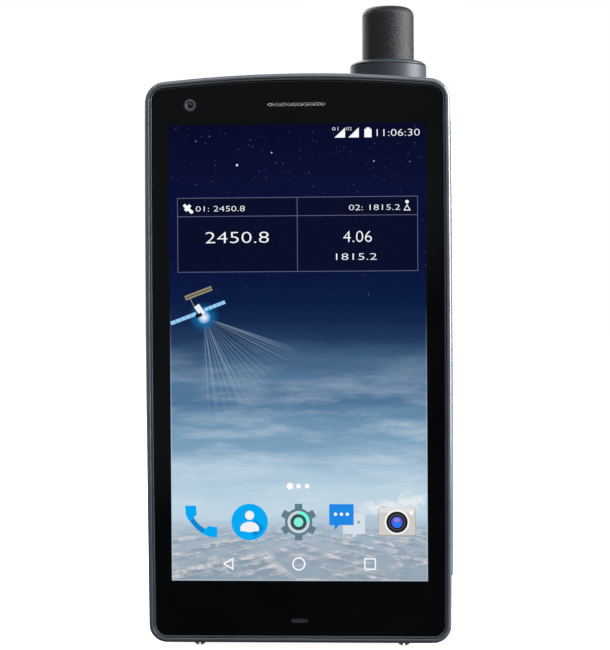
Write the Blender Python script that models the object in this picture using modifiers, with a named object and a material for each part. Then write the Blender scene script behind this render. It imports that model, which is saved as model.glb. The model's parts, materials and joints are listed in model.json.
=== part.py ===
"""Touch-screen satellite phone with a pull-out antenna, as an assembly of separate pieces.

The phone stands upright: +Z is up along its length, the screen faces -Y and +X is its right hand side
as seen from the front. The origin is the middle of the bounding box's base, under the cover screws.
"""

import math

import bmesh
import bpy
from mathutils import Matrix, Vector

MM = 0.001

# overall sizes
BODY_WIDTH = 77.2 * MM
BODY_HEIGHT = 143.6 * MM
BODY_DEPTH = 24.0 * MM
CROWN_RISE = 2.2 * MM  # how far the top edge arches over the full width
SIDE_BOW = 0.3 * MM  # how far each side bulges over the full height
CORNER_RADIUS = 4.5 * MM
SCREW_STAND = 2.1 * MM  # the cover screws' heads stand this far below the bottom face
GAP = 0.2 * MM  # assembly clearance between neighbours
WALL = 2.0 * MM  # housing wall
END_WALL = 4.6 * MM  # thicker housing wall at the top and bottom, which holds the flaps
SMALLEST_CORNER = 0.6 * MM

# front: bumper ring, bezel, glass and display, each set back from the front plane
BUMPER_WIDTH = 1.15 * MM
BUMPER_DEPTH = 3.8 * MM
BEZEL_WIDTH = 0.5 * MM
BEZEL_SETBACK = 0.15 * MM
LEDGE_WIDTH = 1.3 * MM
LEDGE_THICKNESS = 0.9 * MM
GLASS_SETBACK = 0.3 * MM
GLASS_THICKNESS = 1.1 * MM
GASKET_THICKNESS = 0.3 * MM
DISPLAY_THICKNESS = 1.6 * MM
SCREEN_SIDE = 4.3 * MM  # from the side to the display
SCREEN_FROM_TOP = 12.76 * MM
DISPLAY_BORDER = 2.75 * MM  # of the display, beyond the lit screen
SCREEN_FROM_BOTTOM = 15.74 * MM
EARPIECE_WIDTH = 15.0 * MM
EARPIECE_HEIGHT = 1.06 * MM
EARPIECE_ABOVE_SCREEN = 4.95 * MM
FRONT_CAMERA_FROM_SIDE = 11.7 * MM
FRONT_CAMERA_RADIUS = 1.55 * MM
MIC_WIDTH = 4.5 * MM
MIC_HEIGHT = 1.4 * MM
MIC_BELOW_SCREEN = 10.05 * MM
CHASSIS_THICKNESS = 1.2 * MM
CHASSIS_WALL_LOW = 30.0 * MM  # the chassis' side walls begin this far above the bottom face
CHASSIS_WALL_FROM_TOP = 25.6 * MM  # and end this far below the top
CHASSIS_WALL = 0.9 * MM
RECEIVER_WIDTH = 14.4 * MM
RECEIVER_RISE = 2.4 * MM  # above the middle of the earpiece
FRONT_BARREL_RADIUS = 1.9 * MM
FRONT_CAMERA_SIZE = 4.8 * MM
MIC_SIZE = (3.8 * MM, 2.8 * MM)

# back: the antenna and camera above, the battery door below
UPPER_BACK_SETBACK = 0.5 * MM  # camera bezel and antenna column stand this proud of the upper back
COVER_FROM_TOP = 60.0 * MM  # the door ends this far below the top
COVER_THICKNESS = 1.8 * MM
COVER_SEAL = 0.5 * MM
COVER_MARGIN = 3.2 * MM
SKIRT_THICKNESS = 1.4 * MM
SKIRT_FROM_SIDE = 7.6 * MM
BACK_ROUND = 2.6 * MM
BATTERY_FROM_SIDE = 11.6 * MM
BATTERY_BELOW_COVER = 25.6 * MM  # how much shorter the battery is than the door
BATTERY_THICKNESS = 6.4 * MM
BAY_FLOOR = 1.3 * MM
BAY_SIDE = 4.0 * MM  # strip beside the battery where the housing screws stand
BAY_BOTTOM = 7.4 * MM  # from the bottom face to the battery bay
BAY_END = 12.6 * MM  # room above the battery for the SIM sockets

# antenna
ANTENNA_FROM_SIDE = 15.7 * MM
RADOME_RADIUS = 6.65 * MM
RADOME_WALL = 0.9 * MM
RADOME_SHOWING = 14.0 * MM
RADOME_ROUND = 2.2 * MM
COLLAR_RADIUS = 9.8 * MM
COLLAR_HEIGHT = 3.6 * MM  # above the phone's top face at the antenna's axis
RING_HEIGHT = 0.95 * MM
RING_CHAMFER = 1.1 * MM
GUIDE_WALL = 0.8 * MM

# side rails and keys
RAIL_FROM_BOTTOM = 16.4 * MM
RAIL_FROM_TOP = 11.5 * MM
RAIL_WIDTH = 8.6 * MM
RAIL_THICKNESS = 1.8 * MM
RAIL_PROUD = 0.7 * MM
RAIL_SETBACK = 5.8 * MM  # from the front plane
KEY_WIDTH = 4.4 * MM
KEY_PROUD = 0.25 * MM  # above the rail
KEY_FLANGE = 0.6 * MM
KEY_TRAVEL = 0.4 * MM
KEYS = {  # side, height of the middle above the bottom face, length
    "volume_up_key": (-1, BODY_HEIGHT - 35.6 * MM, 12.0 * MM),
    "volume_down_key": (-1, BODY_HEIGHT - 51.6 * MM, 12.0 * MM),
    "power_key": (1, BODY_HEIGHT - 37.6 * MM, 11.0 * MM),
    "sos_key": (1, BODY_HEIGHT - 55.6 * MM, 9.0 * MM),
    "camera_key": (1, 41.0 * MM, 9.0 * MM),
}

# bottom and top fittings
COVER_SCREW_FROM_SIDE = 12.3 * MM
COVER_SCREW_SETBACK = 9.0 * MM
SCREW_HEAD_RADIUS = 1.7 * MM
SCREW_SHANK_RADIUS = 0.8 * MM
SLOT_WIDTH = 0.6 * MM
FLAP_THICKNESS = 1.4 * MM
USB_FLAP_LENGTH = 20.6 * MM
USB_FLAP_WIDTH = 6.0 * MM
USB_WIDTH = 8.6 * MM
USB_HEIGHT = 3.0 * MM
USB_LENGTH = 7.0 * MM
USB_SETBACK = 8.9 * MM
JACK_X = -15.5 * MM
JACK_RADIUS = 3.2 * MM
JACK_BORE = 1.8 * MM
JACK_LENGTH = 13.0 * MM
JACK_FLAP_LENGTH = 12.0 * MM
JACK_FLAP_WIDTH = 7.0 * MM

# camera, flash and loudspeaker on the upper back
CAMERA_X = -7.0 * MM
CAMERA_FROM_TOP = 21.7 * MM
CAMERA_RADIUS = 6.2 * MM
LENS_RADIUS = 3.9 * MM
FLASH_X = -21.0 * MM
FLASH_RADIUS = 2.6 * MM
SPEAKER_X = -15.0 * MM
SPEAKER_FROM_TOP = 44.7 * MM
GRILLE_WIDTH = 22.0 * MM
GRILLE_HEIGHT = 9.0 * MM
GRILLE_SLOTS = 6

# places worked out from the sizes above
FRONT = -BODY_DEPTH / 2
BACK = BODY_DEPTH / 2
UPPER_BACK = BACK - UPPER_BACK_SETBACK
BOTTOM = SCREW_STAND
TOP = BOTTOM + BODY_HEIGHT
HALF_WIDTH = BODY_WIDTH / 2
DISPLAY_WIDTH = BODY_WIDTH - 2 * SCREEN_SIDE
SCREEN_HEIGHT = BODY_HEIGHT - SCREEN_FROM_BOTTOM - SCREEN_FROM_TOP
DISPLAY_HEIGHT = SCREEN_HEIGHT + 2 * DISPLAY_BORDER
FRONT_CAMERA_X = FRONT_CAMERA_FROM_SIDE - HALF_WIDTH
COVER_HEIGHT = BODY_HEIGHT - COVER_FROM_TOP
SKIRT_WIDTH = BODY_WIDTH - 2 * SKIRT_FROM_SIDE
BATTERY_WIDTH = BODY_WIDTH - 2 * BATTERY_FROM_SIDE
BATTERY_HEIGHT = COVER_HEIGHT - BATTERY_BELOW_COVER
ANTENNA_X = HALF_WIDTH - ANTENNA_FROM_SIDE
COVER_SCREW_X = HALF_WIDTH - COVER_SCREW_FROM_SIDE
CAMERA_Z = TOP - CAMERA_FROM_TOP
SPEAKER_Z = TOP - SPEAKER_FROM_TOP
CROWN_RADIUS = (HALF_WIDTH**2 + CROWN_RISE**2) / (2 * CROWN_RISE)
HOUSING_FRONT = FRONT + BUMPER_DEPTH + GAP
BEZEL_INSET = BUMPER_WIDTH + GAP / 2
GLASS_INSET = BEZEL_INSET + BEZEL_WIDTH + GAP
GLASS_FRONT = FRONT + GLASS_SETBACK
GLASS_BACK = GLASS_FRONT + GLASS_THICKNESS
LEDGE_FRONT = GLASS_BACK + GASKET_THICKNESS + GAP
LEDGE_BACK = LEDGE_FRONT + LEDGE_THICKNESS
DISPLAY_FRONT = GLASS_BACK + GAP
DISPLAY_BACK = DISPLAY_FRONT + DISPLAY_THICKNESS
CHASSIS_FRONT = DISPLAY_BACK + GAP
CHASSIS_BACK = CHASSIS_FRONT + CHASSIS_THICKNESS
SCREEN_BOTTOM = BOTTOM + SCREEN_FROM_BOTTOM
SCREEN_MIDDLE = SCREEN_BOTTOM + SCREEN_HEIGHT / 2
EARPIECE_Z = SCREEN_BOTTOM + SCREEN_HEIGHT + EARPIECE_ABOVE_SCREEN
MIC_Z = SCREEN_BOTTOM - MIC_BELOW_SCREEN
DISPLAY_BOTTOM = SCREEN_MIDDLE - DISPLAY_HEIGHT / 2
DISPLAY_TOP = SCREEN_MIDDLE + DISPLAY_HEIGHT / 2
COVER_BACK = UPPER_BACK
COVER_FRONT = COVER_BACK - COVER_THICKNESS
COVER_LEDGE = COVER_FRONT - COVER_SEAL
COVER_TOP = BOTTOM + COVER_HEIGHT
BAY_BACK_OF_FLOOR = COVER_LEDGE - BATTERY_THICKNESS - GAP
FLOOR_FRONT = BAY_BACK_OF_FLOOR - BAY_FLOOR
BAY_LOW = BOTTOM + BAY_BOTTOM
BAY_HIGH = BAY_LOW + BATTERY_HEIGHT + BAY_END + 2 * GAP
BAY_HALF = BATTERY_WIDTH / 2 + BAY_SIDE
BATTERY_LOW = BAY_LOW + GAP
ROOM_LOW = COVER_TOP + WALL
COLLAR_Y = BACK - COLLAR_RADIUS
BORE_RADIUS = RADOME_RADIUS + GUIDE_WALL + 2 * GAP
BOSS_RADIUS = COLLAR_RADIUS - 0.5 * MM
BORE_LOW = ROOM_LOW + GAP
RAIL_INNER = RAIL_THICKNESS - RAIL_PROUD
RAIL_FRONT = FRONT + RAIL_SETBACK
RAIL_BACK = RAIL_FRONT + RAIL_WIDTH
KEY_Y = RAIL_FRONT + RAIL_WIDTH / 2
SCREW_Y = FRONT + COVER_SCREW_SETBACK
USB_Y = FRONT + USB_SETBACK
SKIRT_TOP = BOTTOM + SKIRT_THICKNESS
WEB_WIDTH = SKIRT_WIDTH - 0.4 * MM
KEY_ROOM = WALL + KEY_FLANGE + 2 * KEY_TRAVEL + 5 * GAP  # from the side to the chassis' side wall
BOARD_THICKNESS = 1.0 * MM
BOARD_FRONT = CHASSIS_BACK + GAP
BOARD_BACK = BOARD_FRONT + BOARD_THICKNESS
CAN_HEIGHT = 2.2 * MM
CAN_LENGTH = 24.0 * MM
CAN_MARGIN = 1.2 * MM
BOARD_FROM_TOP = 3.6 * MM  # below the thick top wall
LOWER_BOARD_WIDTH = BATTERY_WIDTH - 6.0 * MM
LOWER_BOARD_HEIGHT = 16.0 * MM
MOTOR_RADIUS = 5.0 * MM
MOTOR_DEPTH = 2.6 * MM
CAMERA_MODULE = 9.2 * MM
FITTING_DEPTH = 1.0 * MM  # how deep the fittings of the upper back are let in
BEZEL_CHAMFER = 0.4 * MM
TAB_REACH = 2.3 * MM  # how far the door's tabs reach past the cover screws
SOCKET_WIDTH = BATTERY_WIDTH * 0.28
SOCKET_PLACES = {"sim_socket_1": -0.48 * BATTERY_WIDTH, "sim_socket_2": -0.17 * BATTERY_WIDTH}
CONTACT_LOW = BATTERY_WIDTH * 0.185
CONTACT_WIDTH = BATTERY_WIDTH * 0.185
COLLAR_DIP = 1.6 * MM  # how far the collar's skirt runs into the crown
SEAL_DROP = 4.4 * MM  # from the crown's surface to the bottom of the antenna's seal
SEAL_HEIGHT = 1.9 * MM
CAP_THICKNESS = 1.2 * MM

CORNER_STEPS = 7
CROWN_STEPS = 9
BACK_ROUND_STEPS = 4
OVERCUT = 1.0 * MM


# ---------------------------------------------------------------- scene and materials


def clear_scene():
    for old in list(bpy.data.objects):
        bpy.data.objects.remove(old, do_unlink=True)


def new_collection(name):
    collection = bpy.data.collections.new(name)
    bpy.context.scene.collection.children.link(collection)
    return collection


def material(name, colour, roughness, metallic=0.0):
    made = bpy.data.materials.new(name)
    made.use_nodes = True
    shader = made.node_tree.nodes["Principled BSDF"]
    shader.inputs["Base Color"].default_value = (*colour, 1.0)
    shader.inputs["Roughness"].default_value = roughness
    shader.inputs["Metallic"].default_value = metallic
    made.diffuse_color = (*colour, 1.0)
    return made


clear_scene()
PHONE = new_collection("satellite_phone")
CUTTERS = new_collection("cutters")


# ---------------------------------------------------------------- outlines


def crown_height(x, inset=0.0):
    """Height of the arched top edge at x, for an outline set in by inset."""
    radius = CROWN_RADIUS - inset
    return TOP - CROWN_RADIUS + math.sqrt(radius**2 - x**2)


def side_at(z, inset=0.0):
    """Half width of the bowed sides at height z."""
    share = (z - BOTTOM - BODY_HEIGHT / 2) / (BODY_HEIGHT / 2)
    return HALF_WIDTH - inset - SIDE_BOW * share**2


def arc(centre_x, centre_z, radius, start, end, steps):
    angles = [start + (end - start) * i / steps for i in range(steps + 1)]
    return [(centre_x + radius * math.cos(a), centre_z + radius * math.sin(a)) for a in angles]


def outline(inset, bottom=None, drop=0.0, corner=None):
    """The phone's front outline, set in all round. Its base and its crown can be moved."""
    low = BOTTOM + inset if bottom is None else bottom
    radius = max(CORNER_RADIUS - inset, SMALLEST_CORNER) if corner is None else corner
    crown = CROWN_RADIUS - inset
    crown_centre = TOP - CROWN_RADIUS - drop
    low_x = side_at(low + radius, inset) - radius
    high_x = side_at(TOP - CORNER_RADIUS, inset) - radius
    high_z = crown_centre + math.sqrt((crown - radius) ** 2 - high_x**2)
    lean = math.atan2(high_z - crown_centre, high_x)
    right = arc(low_x, low + radius, radius, -math.pi / 2, 0, CORNER_STEPS)
    for share in (0.25, 0.5, 0.75):
        z = low + radius + (high_z - low - radius) * share
        right.append((side_at(z, inset), z))
    right += arc(high_x, high_z, radius, 0, lean, CORNER_STEPS)
    right += arc(0, crown_centre, crown, lean, math.pi / 2, CROWN_STEPS)[1:-1]
    left = [(-x, z) for x, z in reversed(right)]
    return right + [(0, crown_centre + crown)] + left


def rounded(centre_a, centre_b, size_a, size_b, radius, steps=3):
    """A rectangle with round corners, in any plane."""
    points = []
    for sign_a, sign_b, start in ((1, -1, -90), (1, 1, 0), (-1, 1, 90), (-1, -1, 180)):
        points += arc(
            centre_a + sign_a * (size_a / 2 - radius),
            centre_b + sign_b * (size_b / 2 - radius),
            radius,
            math.radians(start),
            math.radians(start + 90),
            steps,
        )
    return points


def circle(centre_a, centre_b, radius, steps=20):
    return arc(centre_a, centre_b, radius, 0, 2 * math.pi * (steps - 1) / steps, steps - 1)


# ---------------------------------------------------------------- solids

TURNS = {  # exact quarter turns, so that faces of neighbouring pieces stay truly flat and level
    "Y": Matrix(((1, 0, 0), (0, 0, -1), (0, 1, 0))).to_4x4(),  # loops are in x and z
    "Z": Matrix.Identity(4),  # loops are in x and y
    "X": Matrix(((0, 0, 1), (1, 0, 0), (0, 1, 0))).to_4x4(),  # loops are in y and z
}


def as_cutter(obj):
    obj.hide_render = True
    obj.display_type = "WIRE"
    PHONE.objects.unlink(obj)
    CUTTERS.objects.link(obj)
    return obj


def add_mesh(name, mesh, finish=None):
    obj = bpy.data.objects.new(name, mesh)
    if finish is not None:
        mesh.materials.append(finish)
    PHONE.objects.link(obj)
    return obj


def slab(name, axis, loops, low, high, finish=None):
    """A flat piece: loops are its outline and its holes, from low to high along the axis."""
    curve = bpy.data.curves.new(name, "CURVE")
    curve.dimensions = "2D"
    curve.fill_mode = "BOTH"
    curve.extrude = (high - low) / 2
    for loop in loops:
        spline = curve.splines.new("POLY")
        spline.points.add(len(loop) - 1)
        spline.use_cyclic_u = True
        for point, (a, b) in zip(spline.points, loop):
            point.co = (a, b, 0, 1)
    guide = bpy.data.objects.new(name + "_outline", curve)
    bpy.context.scene.collection.objects.link(guide)
    bpy.context.view_layer.update()
    mesh = bpy.data.meshes.new_from_object(guide.evaluated_get(bpy.context.evaluated_depsgraph_get()))
    bpy.data.objects.remove(guide)
    middle = Vector([(low + high) / 2 if letter == axis else 0 for letter in "XYZ"])
    mesh.transform(Matrix.Translation(middle) @ TURNS[axis])
    welded = bmesh.new()
    welded.from_mesh(mesh)
    bmesh.ops.remove_doubles(welded, verts=welded.verts, dist=0.001 * MM)
    bmesh.ops.recalc_face_normals(welded, faces=welded.faces)
    bmesh.ops.dissolve_limit(
        welded, angle_limit=math.radians(0.1), verts=welded.verts, edges=welded.edges
    )
    welded.to_mesh(mesh)
    welded.free()
    mesh.name = name
    mesh.materials.clear()
    return add_mesh(name, mesh, finish)


def block(name, low, high, finish=None):
    """A box between two corners."""
    low = Vector(low)
    high = Vector(high)
    shape = bmesh.new()
    size = high - low
    place = Matrix.Translation((low + high) / 2) @ Matrix.Diagonal((*size, 1))
    bmesh.ops.create_cube(shape, size=1, matrix=place)
    mesh = bpy.data.meshes.new(name)
    shape.to_mesh(mesh)
    shape.free()
    return add_mesh(name, mesh, finish)


def turned(name, profile, centre, axis="Z", finish=None, steps=32):
    """A turned piece. Its profile is (radius, height) pairs, either closed or from axis to axis."""
    mesh = bpy.data.meshes.new(name)
    closed = profile[0] == profile[-1]
    points = profile[:-1] if closed else profile
    shape = bmesh.new()
    made = [shape.verts.new((radius, 0, along)) for radius, along in points]
    for first, second in zip(made, made[1:]):
        shape.edges.new((first, second))
    if closed:
        shape.edges.new((made[-1], made[0]))
    shape.to_mesh(mesh)
    shape.free()
    obj = add_mesh(name, mesh, finish)
    screw = obj.modifiers.new("turn", "SCREW")
    screw.steps = steps
    screw.render_steps = steps
    screw.use_merge_vertices = True
    screw.merge_threshold = 0.001 * MM
    obj.location = centre
    if axis == "Y":
        obj.rotation_euler = (-math.pi / 2, 0, 0)
    return obj


def ring_profile(inner, outer, low, high, chamfer=0.0):
    """Cross-section of a turned ring, from the top of its outer side down and back up its bore."""
    points = [(outer - chamfer, high)]
    if chamfer:
        points.append((outer, high - chamfer))
    return points + [(outer, low), (inner, low), (inner, high), (outer - chamfer, high)]


def cut(target, *tools):
    for tool in tools:
        boolean = target.modifiers.new("cut " + tool.name, "BOOLEAN")
        boolean.operation = "DIFFERENCE"
        boolean.object = tool
        if tool.name not in CUTTERS.objects:
            as_cutter(tool)


def join(target, *tools):
    for tool in tools:
        boolean = target.modifiers.new("join " + tool.name, "BOOLEAN")
        boolean.operation = "UNION"
        boolean.object = tool
        as_cutter(tool)


def keep_inside(target, tool):
    boolean = target.modifiers.new("trim", "BOOLEAN")
    boolean.operation = "INTERSECT"
    boolean.object = tool
    as_cutter(tool)


def round_edges(obj, width, steps, chosen):
    """Rounds the sharp edges whose two ends both satisfy chosen."""
    shape = bmesh.new()
    shape.from_mesh(obj.data)
    weight = shape.edges.layers.float.new("bevel_weight_edge")
    for edge in shape.edges:
        sharp = edge.calc_face_angle(0) > math.radians(30)
        if sharp and all(chosen(vert.co) for vert in edge.verts):
            edge[weight] = 1.0
    shape.to_mesh(obj.data)
    shape.free()
    bevel = obj.modifiers.new("round", "BEVEL")
    bevel.limit_method = "WEIGHT"
    bevel.width = width
    bevel.segments = steps
    return obj


def soften(obj, width, steps=1):
    """Breaks all of a block's sharp edges."""
    bevel = obj.modifiers.new("soften", "BEVEL")
    bevel.limit_method = "ANGLE"
    bevel.angle_limit = math.radians(50)
    bevel.width = width
    bevel.segments = steps
    return obj


def hang_on(obj, pivot):
    """Puts the origin of a moving piece on its joint's axis."""
    pivot = Vector(pivot)
    obj.data.transform(Matrix.Translation(obj.location - pivot))
    obj.location = pivot
    return obj


def near(value, wanted):
    return abs(value - wanted) < 0.01 * MM


# ---------------------------------------------------------------- finishes

HOUSING = material("housing plastic", (0.045, 0.052, 0.06), 0.45)
RUBBER = material("black rubber", (0.02, 0.021, 0.023), 0.8)
BUMPER = material("slate frame", (0.085, 0.105, 0.125), 0.35)
RAIL = material("satin rail", (0.55, 0.58, 0.6), 0.3, 0.9)
KEY = material("key metal", (0.6, 0.63, 0.65), 0.35, 0.5)
SOS = material("sos orange", (0.75, 0.2, 0.03), 0.5)
GLASS = material("black glass", (0.01, 0.012, 0.015), 0.04)
DISPLAY = material("display", (0.02, 0.08, 0.25), 0.2)
ALLOY = material("magnesium alloy", (0.42, 0.43, 0.44), 0.5, 0.8)
STEEL = material("polished steel", (0.72, 0.72, 0.72), 0.15, 1.0)
TIN = material("tinned shield", (0.62, 0.62, 0.6), 0.35, 1.0)
BOARD = material("circuit board", (0.02, 0.16, 0.1), 0.5)
CELL = material("battery wrap", (0.06, 0.06, 0.065), 0.55)
GOLD = material("gold contact", (0.85, 0.62, 0.25), 0.25, 1.0)
RADOME = material("radome plastic", (0.05, 0.055, 0.06), 0.6)
COLLAR = material("collar plastic", (0.075, 0.09, 0.105), 0.4)
CLEAR = material("clear lens", (0.02, 0.02, 0.03), 0.03)
DIFFUSER = material("flash diffuser", (0.85, 0.85, 0.75), 0.3)
FOAM = material("seal foam", (0.03, 0.03, 0.03), 0.9)


# ---------------------------------------------------------------- front


def front_pieces():
    bumper = slab(
        "front_bumper", "Y", [outline(0), outline(BUMPER_WIDTH)], FRONT, FRONT + BUMPER_DEPTH, BUMPER
    )
    edge = outline(BUMPER_WIDTH / 2)
    inner_x = max(x for x, z in edge)

    def on_outer_front(point):
        outside = abs(point.x) > inner_x or point.z < BOTTOM + BUMPER_WIDTH / 2
        above = point.z > crown_height(point.x, BUMPER_WIDTH / 2)
        rounding = abs(point.x) > HALF_WIDTH - CORNER_RADIUS and not inside_corner(point, BUMPER_WIDTH / 2)
        return near(point.y, FRONT) and (outside or above or rounding)

    round_edges(bumper, 0.8 * MM, 3, on_outer_front)

    bezel = slab(
        "glass_bezel",
        "Y",
        [outline(BEZEL_INSET), outline(BEZEL_INSET + BEZEL_WIDTH + LEDGE_WIDTH)],
        FRONT + BEZEL_SETBACK,
        LEDGE_BACK,
        HOUSING,
    )
    seat = slab("glass_seat", "Y", [outline(BEZEL_INSET + BEZEL_WIDTH)], FRONT - OVERCUT, LEDGE_FRONT)
    cut(bezel, seat)

    glass = slab("cover_glass", "Y", [outline(GLASS_INSET)], GLASS_FRONT, GLASS_BACK, GLASS)
    round_edges(glass, 0.25 * MM, 2, lambda point: near(point.y, GLASS_FRONT))
    ear_slot = rounded(0, EARPIECE_Z, EARPIECE_WIDTH, EARPIECE_HEIGHT, EARPIECE_HEIGHT * 0.48)
    mic_slot = rounded(0, MIC_Z, MIC_WIDTH, MIC_HEIGHT, MIC_HEIGHT * 0.45)
    cut(
        glass,
        slab("earpiece_slot", "Y", [ear_slot], FRONT - OVERCUT, GLASS_BACK + OVERCUT / 2),
        slab("mic_slot", "Y", [mic_slot], FRONT - OVERCUT, GLASS_BACK + OVERCUT / 2),
    )

    slab(
        "display_gasket",
        "Y",
        [outline(GLASS_INSET + GAP), outline(BEZEL_INSET + BEZEL_WIDTH + LEDGE_WIDTH)],
        GLASS_BACK + GAP / 2,
        GLASS_BACK + GAP / 2 + GASKET_THICKNESS,
        FOAM,
    )
    panel = [rounded(0, SCREEN_MIDDLE, DISPLAY_WIDTH, DISPLAY_HEIGHT, 1.0 * MM)]
    slab("display_panel", "Y", panel, DISPLAY_FRONT, DISPLAY_BACK, DISPLAY)


def inside_corner(point, inset):
    """Whether a point near a corner lies inside the outline set in by inset."""
    radius = CORNER_RADIUS - inset
    low_z = BOTTOM + inset + radius
    high_x = side_at(TOP - CORNER_RADIUS, inset) - radius
    crown_centre = TOP - CROWN_RADIUS
    high_z = crown_centre + math.sqrt((CROWN_RADIUS - inset - radius) ** 2 - high_x**2)
    if low_z < point.z < high_z:
        return True
    centre_z = low_z if point.z < low_z else high_z
    centre_x = side_at(low_z, inset) - radius if point.z < low_z else high_x
    return math.hypot(max(abs(point.x) - centre_x, 0), point.z - centre_z) < radius


def earpiece_and_front_camera():
    slot_gap = GAP / 2
    bar = rounded(
        0,
        EARPIECE_Z,
        EARPIECE_WIDTH - 2 * slot_gap,
        EARPIECE_HEIGHT - 2 * slot_gap,
        EARPIECE_HEIGHT * 0.38,
    )
    slab("earpiece_mesh", "Y", [bar], GLASS_FRONT + GAP, GLASS_BACK, STEEL)
    receiver_front = GLASS_BACK + GAP
    receiver = block(
        "earpiece_receiver",
        (-RECEIVER_WIDTH / 2, receiver_front, DISPLAY_TOP + GAP),
        (RECEIVER_WIDTH / 2, CHASSIS_BACK - GAP, EARPIECE_Z + RECEIVER_RISE),
        ALLOY,
    )
    soften(receiver, 0.3 * MM)
    turned(
        "front_camera_ring",
        ring_profile(FRONT_CAMERA_RADIUS * 0.6, FRONT_CAMERA_RADIUS, -0.15 * MM, 0.15 * MM),
        (FRONT_CAMERA_X, GLASS_BACK + 0.35 * MM, EARPIECE_Z),
        "Y",
        STEEL,
    )
    barrel = turned(
        "front_camera_module",
        [(0, 1.0 * MM), (FRONT_BARREL_RADIUS, 1.0 * MM), (FRONT_BARREL_RADIUS, -0.8 * MM), (0, -0.8 * MM)],
        (FRONT_CAMERA_X, GLASS_BACK + 1.6 * MM, EARPIECE_Z),
        "Y",
        CLEAR,
    )
    camera_base = block(
        "front_camera_base",
        (FRONT_CAMERA_X - FRONT_CAMERA_SIZE / 2, GLASS_BACK + 1.4 * MM, DISPLAY_TOP + GAP),
        (FRONT_CAMERA_X + FRONT_CAMERA_SIZE / 2, CHASSIS_BACK - GAP, EARPIECE_Z + 2.3 * MM),
    )
    join(barrel, camera_base)
    boot = rounded(0, MIC_Z, MIC_WIDTH - GAP, MIC_HEIGHT - GAP, MIC_HEIGHT * 0.3)
    slab("microphone_boot", "Y", [boot], GLASS_FRONT + 0.4 * MM, GLASS_BACK, RUBBER)
    mic = block(
        "microphone",
        (-MIC_SIZE[0] / 2, GLASS_BACK + GAP, MIC_Z - MIC_SIZE[1] / 2),
        (MIC_SIZE[0] / 2, CHASSIS_FRONT - GAP, MIC_Z + MIC_SIZE[1] / 2),
        GOLD,
    )
    soften(mic, 0.2 * MM)


def chassis():
    plate = slab(
        "mid_chassis", "Y", [outline(WALL + 1.5 * GAP)], CHASSIS_FRONT, CHASSIS_BACK, ALLOY
    )
    wall_low = BOTTOM + CHASSIS_WALL_LOW
    wall_high = TOP - CHASSIS_WALL_FROM_TOP
    for side in (-1, 1):
        flange = slab(
            f"chassis_flange_{'right' if side > 0 else 'left'}",
            "Y",
            [side_strip(side, wall_low, wall_high, KEY_ROOM, KEY_ROOM + CHASSIS_WALL)],
            CHASSIS_BACK - 0.4 * MM,
            FLOOR_FRONT - GAP,
        )
        join(plate, flange)
    camera_half = FRONT_CAMERA_SIZE / 2 + 1.5 * GAP
    cut(
        plate,
        block(
            "receiver_window",
            (-RECEIVER_WIDTH / 2 - 2 * GAP, CHASSIS_FRONT - OVERCUT, DISPLAY_TOP - GAP),
            (RECEIVER_WIDTH / 2 + 2 * GAP, CHASSIS_BACK + OVERCUT, EARPIECE_Z + RECEIVER_RISE + 2 * GAP),
        ),
        block(
            "front_camera_window",
            (FRONT_CAMERA_X - camera_half, CHASSIS_FRONT - OVERCUT, EARPIECE_Z - camera_half),
            (FRONT_CAMERA_X + camera_half, CHASSIS_BACK + OVERCUT, EARPIECE_Z + camera_half),
        ),
    )
    for name, x, z in housing_screw_places():
        hole = circle(x, z, SCREW_SHANK_RADIUS + GAP, 12)
        cut(plate, slab(name + "_tap", "Y", [hole], CHASSIS_FRONT - OVERCUT, CHASSIS_BACK + OVERCUT))


def side_strip(side, low, high, outer, inner, steps=8):
    """A strip that follows the bowed side between two insets."""
    heights = [low + (high - low) * i / steps for i in range(steps + 1)]
    out = [(side * side_at(z, outer), z) for z in heights]
    back = [(side * side_at(z, inner), z) for z in reversed(heights)]
    return out + back


# ---------------------------------------------------------------- electronics


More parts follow.
